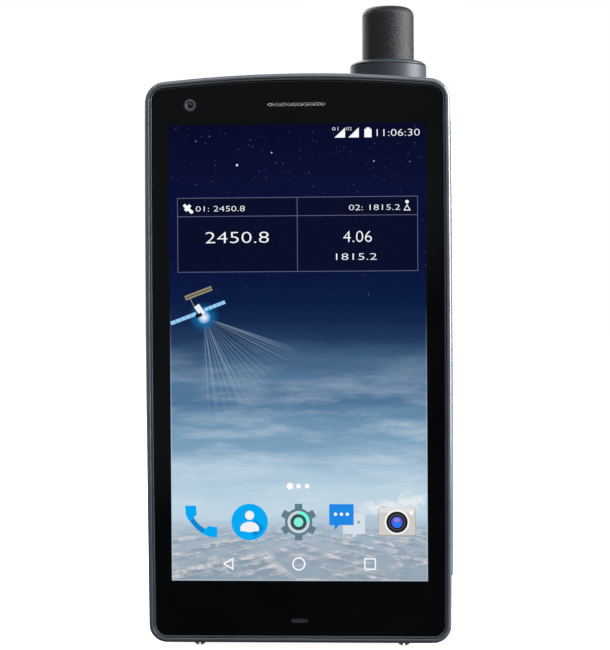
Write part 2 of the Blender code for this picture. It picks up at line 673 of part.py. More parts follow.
def electronics():
    board_high = TOP - END_WALL - BOARD_FROM_TOP
    left = -HALF_WIDTH + KEY_ROOM + CHASSIS_WALL + GAP + SIDE_BOW
    board_right = ANTENNA_X - BOSS_RADIUS - 2 * GAP
    camera_notch = FRONT_CAMERA_X + FRONT_CAMERA_SIZE / 2 + 4 * GAP
    notch_low = EARPIECE_Z - FRONT_CAMERA_SIZE / 2 - 4 * GAP
    board_shape = [
        (left, ROOM_LOW + GAP),
        (board_right, ROOM_LOW + GAP),
        (board_right, board_high),
        (camera_notch, board_high),
        (camera_notch, notch_low),
        (left, notch_low),
    ]
    board = slab("main_board", "Y", [board_shape], BOARD_FRONT, BOARD_BACK, BOARD)
    cut(
        board,
        block(
            "board_window",
            (-RECEIVER_WIDTH / 2 - 4 * GAP, BOARD_FRONT - OVERCUT, DISPLAY_TOP),
            (RECEIVER_WIDTH / 2 + 4 * GAP, BOARD_BACK + OVERCUT, TOP),
        ),
    )
    can_front = BOARD_BACK + GAP / 2
    can_back = can_front + CAN_HEIGHT
    middle = (left + board_right) / 2
    can_low = ROOM_LOW + CAN_MARGIN
    can_high = can_low + CAN_LENGTH
    for name, low_x, high_x in (
        ("modem_shield", left + CAN_MARGIN, middle - CAN_MARGIN / 2),
        ("processor_shield", middle + CAN_MARGIN / 2, board_right - CAN_MARGIN),
    ):
        can = block(name, (low_x, can_front, can_low), (high_x, can_back, can_high), TIN)
        soften(can, 0.4 * MM)

    lower_low = BOTTOM + END_WALL + 2.0 * MM
    lower_board = block(
        "lower_board",
        (-LOWER_BOARD_WIDTH / 2, BOARD_FRONT, lower_low),
        (LOWER_BOARD_WIDTH / 2, BOARD_BACK, lower_low + LOWER_BOARD_HEIGHT),
        BOARD,
    )
    soften(lower_board, 0.2 * MM)
    turned(
        "vibration_motor",
        [
            (0, MOTOR_DEPTH),
            (MOTOR_RADIUS - 0.4 * MM, MOTOR_DEPTH),
            (MOTOR_RADIUS, MOTOR_DEPTH - 0.4 * MM),
            (MOTOR_RADIUS, 0),
            (0, 0),
        ],
        (LOWER_BOARD_WIDTH / 3, BOARD_BACK + GAP / 2, lower_low + LOWER_BOARD_HEIGHT / 2 + 1 * MM),
        "Y",
        STEEL,
        32,
    )
    camera = block(
        "rear_camera_module",
        (CAMERA_X - CAMERA_MODULE / 2, can_back + GAP, CAMERA_Z - CAMERA_MODULE / 2),
        (CAMERA_X + CAMERA_MODULE / 2, UPPER_BACK - WALL - GAP, CAMERA_Z + CAMERA_MODULE / 2),
        HOUSING,
    )
    soften(camera, 0.4 * MM)
    speaker = block(
        "loudspeaker",
        (SPEAKER_X - GRILLE_WIDTH / 2, can_back + GAP, SPEAKER_Z - GRILLE_HEIGHT / 2 - 1.0 * MM),
        (SPEAKER_X + GRILLE_WIDTH / 2, UPPER_BACK - WALL - GAP, SPEAKER_Z + GRILLE_HEIGHT / 2 + 1.0 * MM),
        HOUSING,
    )
    soften(speaker, 0.6 * MM)


# ---------------------------------------------------------------- rear housing


def envelope(name, finish=None):
    """The rear body's outer form, with its back edges rounded."""
    form = slab(name, "Y", [outline(0)], HOUSING_FRONT, UPPER_BACK, finish)
    return round_edges(form, BACK_ROUND, BACK_ROUND_STEPS, lambda point: near(point.y, UPPER_BACK))


def housing():
    shell = envelope("rear_housing", HOUSING)
    column = turned(
        "antenna_column",
        [
            (0, TOP + OVERCUT),
            (COLLAR_RADIUS, TOP + OVERCUT),
            (COLLAR_RADIUS, COVER_TOP + 7 * MM),
            (COLLAR_RADIUS - 2 * MM, COVER_TOP + 2 * MM),
            (0, COVER_TOP + 2 * MM),
        ],
        (ANTENNA_X, COLLAR_Y, 0),
    )
    keep_inside(column, slab("under_crown", "Y", [outline(0.3 * MM)], FRONT, BACK + OVERCUT))
    join(shell, column)

    low_room = BOTTOM + END_WALL
    deeper = END_WALL - WALL
    inset = WALL + 0.15 * MM
    chassis_room = slab("chassis_room", "Y", [outline(WALL)], FRONT, CHASSIS_BACK + GAP)
    front_room = slab("front_room", "Y", [outline(inset, low_room, deeper)], FRONT, FLOOR_FRONT)
    inset = WALL + 0.8 * MM
    upper_room = slab(
        "upper_room",
        "Y",
        [outline(inset, ROOM_LOW, deeper, CORNER_RADIUS)],
        FLOOR_FRONT - OVERCUT,
        UPPER_BACK - WALL,
    )
    boss_high = TOP + 9 * MM
    boss_low = ROOM_LOW - 5 * MM
    for room, radius in ((front_room, BOSS_RADIUS), (upper_room, BOSS_RADIUS + 0.15 * MM)):
        boss = turned(
            "antenna_boss_in_" + room.name,
            [(0, boss_high), (radius, boss_high), (radius, boss_low), (0, boss_low)],
            (ANTENNA_X, COLLAR_Y, 0),
        )
        cut(room, boss)
    bay = block(
        "battery_bay",
        (-BAY_HALF, BAY_BACK_OF_FLOOR, BAY_LOW),
        (BAY_HALF, BACK + OVERCUT, BAY_HIGH),
    )
    door = slab(
        "door_recess",
        "Y",
        [door_outline(0)],
        COVER_LEDGE,
        BACK + OVERCUT,
    )
    cut(shell, chassis_room, front_room, upper_room, bay, door)
    bore = turned(
        "antenna_bore",
        [(0, TOP + OVERCUT), (BORE_RADIUS, TOP + OVERCUT), (BORE_RADIUS, BORE_LOW), (0, BORE_LOW)],
        (ANTENNA_X, COLLAR_Y, 0),
    )
    cut(shell, bore)
    bottom_cuts(shell)
    top_cuts(shell)
    side_cuts(shell)
    back_cuts(shell)


def door_outline(clearance):
    """Outline of the battery door, set in from its recess by clearance."""
    margin = COVER_MARGIN + SIDE_BOW + clearance
    low = BOTTOM + margin
    high = COVER_TOP - clearance
    return rounded(0, (low + high) / 2, 2 * (HALF_WIDTH - margin), high - low, 3.0 * MM)


def skirt_loop(clearance):
    """The skirt under the bottom face: a strip with two tabs that reach forward to the cover screws."""
    half = SKIRT_WIDTH / 2 - clearance
    tab_in = 2 * COVER_SCREW_X - half
    strip_front = USB_Y + USB_FLAP_WIDTH / 2 + 2 * GAP + clearance
    tab_front = SCREW_Y - TAB_REACH + clearance
    back = BACK + OVERCUT / 2
    right = [(tab_in, strip_front), (tab_in, tab_front), (half, tab_front), (half, back)]
    return right + [(-x, y) for x, y in reversed(right)]


def bottom_cuts(shell):
    cut(
        shell,
        slab("skirt_room", "Z", [skirt_loop(0)], BOTTOM - OVERCUT, SKIRT_TOP + GAP),
        block(
            "web_room",
            (-WEB_WIDTH / 2, COVER_FRONT - GAP, BOTTOM - OVERCUT / 2),
            (WEB_WIDTH / 2, BACK + 2 * OVERCUT, BOTTOM + COVER_MARGIN + OVERCUT),
        ),
    )
    for side in (-1, 1):
        hole = circle(side * COVER_SCREW_X, SCREW_Y, SCREW_SHANK_RADIUS + GAP / 2, 16)
        name = "screw_hole_right" if side > 0 else "screw_hole_left"
        cut(shell, slab(name, "Z", [hole], BOTTOM - OVERCUT, BOTTOM + END_WALL + OVERCUT))
    flap = rounded(0, USB_Y, USB_FLAP_LENGTH + 2 * GAP, USB_FLAP_WIDTH + 2 * GAP, 1.2 * MM)
    port = rounded(0, USB_Y, USB_WIDTH + 2 * GAP, USB_HEIGHT + 2 * GAP, 1.0 * MM)
    cut(
        shell,
        slab("usb_flap_room", "Z", [flap], BOTTOM - OVERCUT, BOTTOM + FLAP_THICKNESS + GAP),
        slab("usb_port", "Z", [port], BOTTOM, BOTTOM + END_WALL + OVERCUT),
    )


def top_strip(low_x, high_x, inset_out, inset_in, steps=5):
    """A strip that follows the arched top edge between two insets."""
    places = [low_x + (high_x - low_x) * i / steps for i in range(steps + 1)]
    out = [(x, crown_height(x, inset_out)) for x in places]
    back = [(x, crown_height(x, inset_in)) for x in reversed(places)]
    return out + back


def top_cuts(shell):
    low_x = JACK_X - JACK_FLAP_LENGTH / 2 - GAP
    high_x = JACK_X + JACK_FLAP_LENGTH / 2 + GAP
    flap = top_strip(low_x, high_x, -OVERCUT, FLAP_THICKNESS + GAP)
    width = JACK_FLAP_WIDTH / 2 + GAP
    jack = circle(JACK_X, jack_y(), JACK_RADIUS + GAP, 20)
    cut(
        shell,
        slab("jack_flap_room", "Y", [flap], jack_y() - width, jack_y() + width),
        slab("jack_hole", "Z", [jack], TOP - END_WALL - 2 * OVERCUT, TOP + OVERCUT),
    )


def jack_y():
    return (BOARD_BACK + CAN_HEIGHT + UPPER_BACK - WALL) / 2 - 0.5 * MM


def side_cuts(shell):
    for side in (-1, 1):
        name = "right" if side > 0 else "left"
        low, high = rail_ends()
        groove = side_strip(side, low - GAP, high + GAP, -OVERCUT, RAIL_INNER + GAP)
        cut(shell, slab("rail_groove_" + name, "Y", [groove], RAIL_FRONT - GAP, RAIL_BACK + GAP))
    for name, (side, height, length) in KEYS.items():
        window = rounded(KEY_Y, BOTTOM + height, KEY_WIDTH + 2 * GAP, length + 2 * GAP, KEY_WIDTH / 2)
        x = side * side_at(BOTTOM + height)
        low, high = sorted((x - side * (WALL + OVERCUT), x))
        cut(shell, slab(name + "_window", "X", [window], low, high))


def rail_ends():
    return BOTTOM + RAIL_FROM_BOTTOM, TOP - RAIL_FROM_TOP


def back_cuts(shell):
    grille = rounded(
        SPEAKER_X, SPEAKER_Z, GRILLE_WIDTH + 2 * GAP, GRILLE_HEIGHT + 2 * GAP, 2.0 * MM + GAP
    )
    sound = rounded(SPEAKER_X, SPEAKER_Z, GRILLE_WIDTH - 2 * MM, GRILLE_HEIGHT - 2 * MM, 1.0 * MM)
    seat = UPPER_BACK - FITTING_DEPTH - GAP
    cut(
        shell,
        slab("grille_room", "Y", [grille], seat, BACK + OVERCUT),
        slab("sound_hole", "Y", [sound], UPPER_BACK - WALL - OVERCUT, BACK + OVERCUT),
        slab(
            "camera_hole",
            "Y",
            [circle(CAMERA_X, CAMERA_Z, CAMERA_RADIUS + GAP, 28)],
            seat,
            BACK + OVERCUT,
        ),
        slab(
            "camera_sight",
            "Y",
            [circle(CAMERA_X, CAMERA_Z, LENS_RADIUS - 0.5 * MM, 20)],
            UPPER_BACK - WALL - OVERCUT,
            BACK + OVERCUT,
        ),
        slab(
            "flash_hole",
            "Y",
            [circle(FLASH_X, CAMERA_Z, FLASH_RADIUS + GAP, 20)],
            UPPER_BACK - WALL - OVERCUT,
            BACK + OVERCUT,
        ),
    )
    for name, x, z in housing_screw_places():
        hole = circle(x, z, SCREW_SHANK_RADIUS + GAP, 12)
        cut(shell, slab(name + "_hole", "Y", [hole], FLOOR_FRONT - OVERCUT, BAY_BACK_OF_FLOOR + OVERCUT))


def back_fittings():
    turned(
        "rear_camera_bezel",
        ring_profile(
            LENS_RADIUS + GAP,
            CAMERA_RADIUS,
            GAP / 2 - UPPER_BACK_SETBACK - FITTING_DEPTH,
            0,
            BEZEL_CHAMFER,
        ),
        (CAMERA_X, BACK, CAMERA_Z),
        "Y",
        STEEL,
    )
    turned(
        "rear_camera_window",
        [(0, 0), (LENS_RADIUS, 0), (LENS_RADIUS, -FITTING_DEPTH), (0, -FITTING_DEPTH)],
        (CAMERA_X, BACK - 0.3 * MM, CAMERA_Z),
        "Y",
        CLEAR,
    )
    turned(
        "flash_window",
        [
            (0, 0),
            (FLASH_RADIUS - 0.3 * MM, 0),
            (FLASH_RADIUS, -0.3 * MM),
            (FLASH_RADIUS, -1.5 * FITTING_DEPTH),
            (0, -1.5 * FITTING_DEPTH),
        ],
        (FLASH_X, UPPER_BACK, CAMERA_Z),
        "Y",
        DIFFUSER,
        32,
    )
    grille = slab(
        "speaker_grille",
        "Y",
        [rounded(SPEAKER_X, SPEAKER_Z, GRILLE_WIDTH, GRILLE_HEIGHT, 2.0 * MM)],
        UPPER_BACK - FITTING_DEPTH,
        UPPER_BACK,
        ALLOY,
    )
    pitch = (GRILLE_WIDTH - 4 * MM) / GRILLE_SLOTS
    for i in range(GRILLE_SLOTS):
        x = SPEAKER_X + (i - (GRILLE_SLOTS - 1) / 2) * pitch
        hole = rounded(x, SPEAKER_Z, 1.3 * MM, GRILLE_HEIGHT - 3 * MM, 0.6 * MM, 2)
        cut(grille, slab(f"grille_slot_{i + 1}", "Y", [hole], UPPER_BACK - 2 * OVERCUT, BACK + OVERCUT))


# ---------------------------------------------------------------- battery, door and screws


def housing_screw_places():
    x = BAY_HALF - BAY_SIDE / 2
    low = BAY_LOW + 5 * MM
    high = BAY_HIGH - 16 * MM
    return [
        ("housing_screw_1", -x, low),
        ("housing_screw_2", x, low),
        ("housing_screw_3", -x, high),
        ("housing_screw_4", x, high),
    ]


def battery_and_door():
    battery = block(
        "battery",
        (-BATTERY_WIDTH / 2, BAY_BACK_OF_FLOOR + GAP, BATTERY_LOW),
        (BATTERY_WIDTH / 2, COVER_LEDGE - GAP / 2, BATTERY_LOW + BATTERY_HEIGHT),
        CELL,
    )
    soften(battery, 0.8 * MM, 2)
    shelf = BATTERY_LOW + BATTERY_HEIGHT + GAP
    contacts = block(
        "battery_contacts",
        (CONTACT_LOW, BAY_BACK_OF_FLOOR + GAP, shelf),
        (CONTACT_LOW + CONTACT_WIDTH, COVER_LEDGE - 1.0 * MM, shelf + 3.0 * MM),
        GOLD,
    )
    soften(contacts, 0.2 * MM)
    for name, low_x in SOCKET_PLACES.items():
        socket = block(
            name,
            (low_x, BAY_BACK_OF_FLOOR + GAP, shelf + 0.6 * MM),
            (low_x + SOCKET_WIDTH, BAY_BACK_OF_FLOOR + GAP + 1.4 * MM, BAY_HIGH - 2 * GAP),
            TIN,
        )
        soften(socket, 0.2 * MM)
    for name, x, z in housing_screw_places():
        reach = BAY_BACK_OF_FLOOR - CHASSIS_FRONT
        screw = turned(
            name,
            [
                (0, 1.2 * MM),
                (1.2 * MM, 1.2 * MM),
                (1.6 * MM, 0.8 * MM),
                (1.6 * MM, GAP),
                (SCREW_SHANK_RADIUS, GAP),
                (SCREW_SHANK_RADIUS, -reach + GAP),
                (0, -reach + GAP),
            ],
            (x, BAY_BACK_OF_FLOOR, z),
            "Y",
            STEEL,
            16,
        )
        slot = block(
            name + "_slot",
            (x - 1.0 * MM, BAY_BACK_OF_FLOOR + 0.8 * MM, z - 0.25 * MM),
            (x + 1.0 * MM, BAY_BACK_OF_FLOOR + 2.0 * MM, z + 0.25 * MM),
        )
        cut(screw, slot)

    middle = (BAY_LOW + BAY_HIGH) / 2
    width = 2 * BAY_HALF
    height = BAY_HIGH - BAY_LOW
    seal_out = rounded(0, middle, width + 4.0 * MM, height + 3.0 * MM, 3.0 * MM)
    seal_in = rounded(0, middle, width + 1.2 * MM, height + 0.8 * MM, 2.0 * MM)
    slab("cover_gasket", "Y", [seal_out, seal_in], COVER_LEDGE + GAP / 2, COVER_FRONT - GAP / 2, RUBBER)

    door = slab("battery_cover", "Y", [door_outline(GAP)], COVER_FRONT, BACK, HOUSING)
    skirt = slab("cover_skirt", "Z", [skirt_loop(GAP)], BOTTOM - OVERCUT / 2, SKIRT_TOP)
    web = block(
        "cover_web",
        (-WEB_WIDTH / 2 + GAP, COVER_FRONT, BOTTOM + SKIRT_THICKNESS / 2),
        (WEB_WIDTH / 2 - GAP, BACK - 0.25 * MM, BOTTOM + COVER_MARGIN + 4 * MM),
    )
    reach = SCREW_SHANK_RADIUS + GAP
    for side in (-1, 1):
        x = side * COVER_SCREW_X
        slot = block(
            "screw_slot_right" if side > 0 else "screw_slot_left",
            (x - reach, SCREW_Y - TAB_REACH - OVERCUT, BOTTOM - OVERCUT),
            (x + reach, SCREW_Y + reach, SKIRT_TOP + GAP),
        )
        cut(skirt, slot)
    join(door, skirt, web)
    keep_inside(door, envelope("door_envelope"))


def cover_screws():
    for side in (-1, 1):
        name = "cover_screw_right" if side > 0 else "cover_screw_left"
        head_top = SCREW_STAND - GAP
        shank_top = BOTTOM + END_WALL - 2 * GAP
        profile = [
            (0, shank_top),
            (SCREW_SHANK_RADIUS, shank_top),
            (SCREW_SHANK_RADIUS, head_top),
            (SCREW_HEAD_RADIUS, head_top),
            (SCREW_HEAD_RADIUS, SCREW_STAND * 0.55),
            (SCREW_HEAD_RADIUS * 0.93, SCREW_STAND * 0.3),
            (SCREW_HEAD_RADIUS * 0.72, SCREW_STAND * 0.1),
            (SCREW_HEAD_RADIUS * 0.45, 0),
            (0, 0),
        ]
        screw = turned(name, profile, (side * COVER_SCREW_X, SCREW_Y, 0), "Z", STEEL, 32)
        slot = block(
            name + "_slot",
            (side * COVER_SCREW_X - SLOT_WIDTH / 2, SCREW_Y - 3 * MM, -OVERCUT),
            (side * COVER_SCREW_X + SLOT_WIDTH / 2, SCREW_Y + 3 * MM, SCREW_STAND * 0.38),
        )
        cut(screw, slot)


# ---------------------------------------------------------------- rails and keys


def rails_and_keys():
    low, high = rail_ends()
    for side in (-1, 1):
        name = "side_rail_right" if side > 0 else "side_rail_left"
        strip = side_strip(side, low, high, -RAIL_PROUD, RAIL_INNER)
        rail = slab(name, "Y", [strip], RAIL_FRONT, RAIL_BACK, RAIL)
        soften(rail, 0.35 * MM, 1)
        for key, (key_side, height, length) in KEYS.items():
            if key_side != side:
                continue
            window = rounded(KEY_Y, BOTTOM + height, KEY_WIDTH + 2 * GAP, length + 2 * GAP, KEY_WIDTH / 2)
            x = side * HALF_WIDTH
            ends = sorted((x - side * 3 * MM, x + side * 3 * MM))
            cut(rail, slab(key + "_rail_window", "X", [window], *ends))

    for name, (side, height, length) in KEYS.items():
        z = BOTTOM + height
        x = side * side_at(z)
        face = x + side * (RAIL_PROUD + KEY_PROUD)
        inner = x - side * (WALL + 2 * GAP)
        back = inner - side * KEY_FLANGE
        head = rounded(KEY_Y, z, KEY_WIDTH, length, KEY_WIDTH / 2 - 0.05 * MM)
        flange = rounded(KEY_Y, z, KEY_WIDTH + 1.0 * MM, length + 1.0 * MM, KEY_WIDTH / 2)
        finish = SOS if name == "sos_key" else KEY
        key = slab(name, "X", [head], *sorted((face, inner - side * KEY_FLANGE / 2)), finish)
        round_edges(key, 0.3 * MM, 2, lambda point, face=face: near(point.x, face))
        join(key, slab(name + "_flange", "X", [flange], *sorted((inner, back))))
        hang_on(key, (x, KEY_Y, z))
    for side in (-1, 1):
        heights = [place for place in KEYS.values() if place[0] == side]
        low = BOTTOM + min(height - length / 2 for _, height, length in heights)
        high = BOTTOM + max(height + length / 2 for _, height, length in heights)
        outer = KEY_ROOM - KEY_TRAVEL - 3 * GAP
        strip = side_strip(side, low, high, outer + GAP, outer + GAP + 0.6 * MM)
        name = "key_switches_right" if side > 0 else "key_switches_left"
        slab(name, "Y", [strip], KEY_Y - 1.9 * MM, FLOOR_FRONT - GAP, GOLD)


# ---------------------------------------------------------------- antenna


def antenna():
    axis = (ANTENNA_X, COLLAR_Y, 0)
    surface = crown_height(ANTENNA_X)
    collar_top = surface + COLLAR_HEIGHT
    ring_low = collar_top + GAP
    ring_top = ring_low + RING_HEIGHT
    radome_top = ring_top + RADOME_SHOWING
    radome_low = BORE_LOW + 3.0 * MM
    bore = RADOME_RADIUS + GAP
    seat = surface - SEAL_DROP
    seal_top = seat + SEAL_HEIGHT
    spigot_low = seal_top + GAP

    guide_low = BORE_LOW + 2.6 * MM
    turned("antenna_guide", ring_profile(bore, bore + GUIDE_WALL, guide_low, seat), axis, "Z", STEEL, 40)
    turned(
        "antenna_seal",
        ring_profile(bore - GAP / 2, bore + GUIDE_WALL, seat + GAP, seal_top, 0.2 * MM),
        axis,
        "Z",
        RUBBER,
    )
    collar = turned(
        "antenna_collar",
        [
            (COLLAR_RADIUS, collar_top),
            (COLLAR_RADIUS, surface - COLLAR_DIP),
            (bore + GUIDE_WALL, surface - COLLAR_DIP),
            (bore + GUIDE_WALL, spigot_low),
            (bore, spigot_low),
            (bore, collar_top),
            (COLLAR_RADIUS, collar_top),
        ],
        axis,
        "Z",
        COLLAR,
        48,
    )
    saddle = slab("saddle", "Y", [outline(-GAP)], FRONT - OVERCUT, BACK + OVERCUT)
    spared_radius = bore + GUIDE_WALL + GAP / 4
    spared_high = TOP + COLLAR_HEIGHT
    spared_low = seat - SEAL_DROP
    spared = turned(
        "spared_spigot",
        [(0, spared_high), (spared_radius, spared_high), (spared_radius, spared_low), (0, spared_low)],
        axis,
    )
    cut(saddle, spared)
    cut(collar, saddle)
    turned(
        "collar_ring",
        [
            (COLLAR_RADIUS - RING_CHAMFER, ring_top),
            (COLLAR_RADIUS - 0.1 * MM, ring_low + 0.3 * MM),
            (COLLAR_RADIUS - 0.1 * MM, ring_low),
            (bore, ring_low),
            (bore, ring_top),
            (COLLAR_RADIUS - RING_CHAMFER, ring_top),
        ],
        axis,
        "Z",
        COLLAR,
        48,
    )
    inside = RADOME_RADIUS - RADOME_WALL
    profile = [(0, radome_top + 0.35 * MM), (RADOME_RADIUS - RADOME_ROUND, radome_top)]
    for i in range(1, 6):
        angle = math.radians(90 - 18 * i)
        profile.append(
            (
                RADOME_RADIUS - RADOME_ROUND + RADOME_ROUND * math.cos(angle),
                radome_top - RADOME_ROUND + RADOME_ROUND * math.sin(angle),
            )
        )
    profile += [
        (RADOME_RADIUS, radome_low),
        (inside, radome_low),
        (inside, radome_top - RADOME_ROUND),
        (inside - 1.0 * MM, radome_top - CAP_THICKNESS),
        (0, radome_top - CAP_THICKNESS),
    ]
    radome = turned("antenna_radome", profile, axis, "Z", RADOME, 48)
    hang_on(radome, axis)
    turned(
        "antenna_core",
        [
            (0, radome_top - RADOME_ROUND),
            (inside - 0.6 * MM, radome_top - RADOME_ROUND - 0.4 * MM),
            (inside - 0.6 * MM, radome_low + 1.5 * MM),
            (0, radome_low + 1.5 * MM),
        ],
        axis,
        "Z",
        GOLD,
        20,
    )
    turned(
        "antenna_foot",
        [
            (0, radome_low + 1.2 * MM),
            (inside - GAP, radome_low + 1.2 * MM),
            (inside - GAP, radome_low - GAP),
            (RADOME_RADIUS - GAP, radome_low - GAP),
            (RADOME_RADIUS - GAP, radome_low - 1.2 * MM),
            (0, radome_low - 1.2 * MM),
        ],
        axis,
        "Z",
        STEEL,
        24,
    )
    turned(
        "antenna_contact",
        ring_profile(3.0 * MM, BORE_RADIUS - GAP, BORE_LOW + GAP, BORE_LOW + 1.2 * MM),
        axis,
        "Z",
        GOLD,
        24,
    )


# ---------------------------------------------------------------- ports and flaps


def ports_and_flaps():
    hinge_x = -USB_FLAP_LENGTH / 2
    flap = slab(
        "usb_flap",
        "Z",
        [rounded(0, USB_Y, USB_FLAP_LENGTH, USB_FLAP_WIDTH, 1.0 * MM)],
        BOTTOM,
        BOTTOM + FLAP_THICKNESS,
        RUBBER,
    )
    plug = slab(
        "usb_plug",
        "Z",
        [rounded(0, USB_Y, USB_WIDTH - 1.6 * MM, USB_HEIGHT - 1.2 * MM, 0.6 * MM)],
        BOTTOM + FLAP_THICKNESS / 2,
        BOTTOM + FLAP_THICKNESS + 0.4 * MM,
    )
    join(flap, plug)
    hang_on(flap, (hinge_x, USB_Y, BOTTOM))

    mouth = BOTTOM + FLAP_THICKNESS + 0.9 * MM
    shell = [rounded(0, USB_Y, USB_WIDTH, USB_HEIGHT, 1.2 * MM)]
    socket = slab("usb_socket", "Z", shell, mouth, mouth + USB_LENGTH, STEEL)
    cut(
        socket,
        slab(
            "usb_mouth",
            "Z",
            [
                rounded(0, USB_Y, USB_WIDTH - 0.6 * MM, USB_HEIGHT - 0.6 * MM, 0.9 * MM),
                rounded(0, USB_Y, USB_WIDTH - 2.6 * MM, 0.8 * MM, 0.2 * MM),
            ],
            mouth - OVERCUT,
            mouth + USB_LENGTH - 1.0 * MM,
        ),
    )

    low_x = JACK_X - JACK_FLAP_LENGTH / 2
    high_x = JACK_X + JACK_FLAP_LENGTH / 2
    lid = slab(
        "jack_flap",
        "Y",
        [top_strip(low_x, high_x, 0, FLAP_THICKNESS)],
        jack_y() - JACK_FLAP_WIDTH / 2,
        jack_y() + JACK_FLAP_WIDTH / 2,
        RUBBER,
    )
    hang_on(lid, (low_x, jack_y(), crown_height(low_x)))
    jack_top = crown_height(low_x) - FLAP_THICKNESS - 4 * GAP
    turned(
        "headset_socket",
        [
            (0, jack_top - JACK_LENGTH + 1.5 * MM),
            (JACK_BORE, jack_top - JACK_LENGTH + 1.5 * MM),
            (JACK_BORE, jack_top),
            (JACK_RADIUS, jack_top),
            (JACK_RADIUS, jack_top - JACK_LENGTH),
            (0, jack_top - JACK_LENGTH),
        ],
        (JACK_X, jack_y(), 0),
        "Z",
        HOUSING,
        20,
    )


front_pieces()
earpiece_and_front_camera()
chassis()
electronics()
housing()
back_fittings()
battery_and_door()
cover_screws()
rails_and_keys()
antenna()
ports_and_flaps()

for piece in PHONE.objects:
    piece.data.shade_smooth()
    piece.data.set_sharp_from_angle(angle=math.radians(35))
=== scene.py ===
import json
import math

import bmesh
import bpy
from mathutils import Matrix, Vector


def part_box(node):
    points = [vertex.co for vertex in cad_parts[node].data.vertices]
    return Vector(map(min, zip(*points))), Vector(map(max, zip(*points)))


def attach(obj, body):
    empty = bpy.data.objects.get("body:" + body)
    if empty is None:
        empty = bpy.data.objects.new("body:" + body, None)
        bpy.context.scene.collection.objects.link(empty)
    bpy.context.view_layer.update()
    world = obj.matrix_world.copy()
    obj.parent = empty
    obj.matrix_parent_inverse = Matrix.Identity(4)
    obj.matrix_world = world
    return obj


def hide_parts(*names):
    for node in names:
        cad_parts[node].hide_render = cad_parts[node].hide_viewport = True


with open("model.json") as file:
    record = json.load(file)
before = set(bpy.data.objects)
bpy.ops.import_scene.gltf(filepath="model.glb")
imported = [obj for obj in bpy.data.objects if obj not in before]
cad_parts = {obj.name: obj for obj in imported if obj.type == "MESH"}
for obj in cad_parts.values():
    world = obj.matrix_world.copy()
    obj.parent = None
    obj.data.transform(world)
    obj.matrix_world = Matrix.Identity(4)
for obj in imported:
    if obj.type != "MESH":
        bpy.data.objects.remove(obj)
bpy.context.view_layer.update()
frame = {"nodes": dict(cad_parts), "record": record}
nodes = frame["nodes"]
mm = 0.001
print("frame loaded with", len(nodes), "nodes")

bodyOf = {}
for bodyName, members in frame["record"]["behaviour"]["bodies"].items():
    for member in members:
        bodyOf[member] = bodyName
slotOf = {row["node"]: row["material_slot"] for row in frame["record"]["subparts"]}


# working in edit mode

def pickUp(piece):
    bpy.ops.object.select_all(action="DESELECT")
    piece.select_set(True)
    bpy.context.view_layer.objects.active = piece


def settle(piece):
    # place, turn and scale go into the mesh
    pickUp(piece)
    bpy.ops.object.transform_apply(location=True, rotation=True, scale=True)


def startEdit(piece, kind="EDGE"):
    pickUp(piece)
    bpy.ops.object.mode_set(mode="EDIT")
    bpy.ops.mesh.select_mode(type=kind)
    bpy.ops.mesh.select_all(action="DESELECT")


def endEdit():
    bpy.ops.object.mode_set(mode="OBJECT")


def pickEdges(piece, wanted):
    # wanted is asked about each edge
    bpy.ops.mesh.select_mode(type="EDGE")
    bpy.ops.mesh.select_all(action="DESELECT")
    cage = bmesh.from_edit_mesh(piece.data)
    for edge in cage.edges:
        edge.select_set(wanted(edge))
    bmesh.update_edit_mesh(piece.data)


def pickFaces(piece, wanted):
    # wanted is asked with each face's middle and normal
    bpy.ops.mesh.select_mode(type="FACE")
    bpy.ops.mesh.select_all(action="DESELECT")
    cage = bmesh.from_edit_mesh(piece.data)
    for face in cage.faces:
        face.select_set(wanted(face.calc_center_median(), face.normal))
    bmesh.update_edit_mesh(piece.data)


def pickEnd(piece, axis, side):
    # the faces that look one way along an axis
    i = "XYZ".index(axis)
    pickFaces(piece, lambda co, normal: normal[i] * side > 0.9)


def insetPicked(*steps):
    # one inset inside another, each with a width and a depth in millimetres
    for width, depth in steps:
        bpy.ops.mesh.inset(thickness=width * mm, depth=depth * mm)


def extrudePicked(step):
    bpy.ops.mesh.extrude_region_move(TRANSFORM_OT_translate={"value": step})


def roundPicked(width, steps=4):
    bpy.ops.mesh.bevel(offset=width, segments=steps, affect="EDGES", clamp_overlap=True)


def roundWhere(piece, wanted, width, steps=4, sharpest=0.4):
    # rounds the sharp edges whose two ends are both wanted
    def chosen(edge):
        return edge.calc_face_angle(math.pi) > sharpest and all(wanted(vert.co) for vert in edge.verts)

    startEdit(piece)
    pickEdges(piece, chosen)
    roundPicked(width, steps)
    endEdit()


def roundCorners(piece, radius, steps):
    # every corner of a flat shape
    startEdit(piece, "VERT")
    bpy.ops.mesh.select_all(action="SELECT")
    bpy.ops.mesh.bevel(affect="VERTICES", offset=radius, segments=steps)
    endEdit()


def faceOutward():
    bpy.ops.mesh.select_all(action="SELECT")
    bpy.ops.mesh.normals_make_consistent(inside=False)


def deletePicked():
    bpy.ops.mesh.delete(type="FACE")


def wallBore(piece):
    # joins the two open rims that deleted ends leave
    pickEdges(piece, lambda edge: edge.is_boundary)
    bpy.ops.mesh.bridge_edge_loops()


def useModifier(piece, kind, **settings):
    modifier = piece.modifiers.new(kind.lower(), kind)
    for key, value in settings.items():
        setattr(modifier, key, value)
    pickUp(piece)
    bpy.ops.object.modifier_apply(modifier=modifier.name)


def cutWith(piece, *cutters, operation="DIFFERENCE"):
    for cutter in cutters:
        useModifier(piece, "BOOLEAN", object=cutter, operation=operation, solver="EXACT")
        bpy.data.objects.remove(cutter)


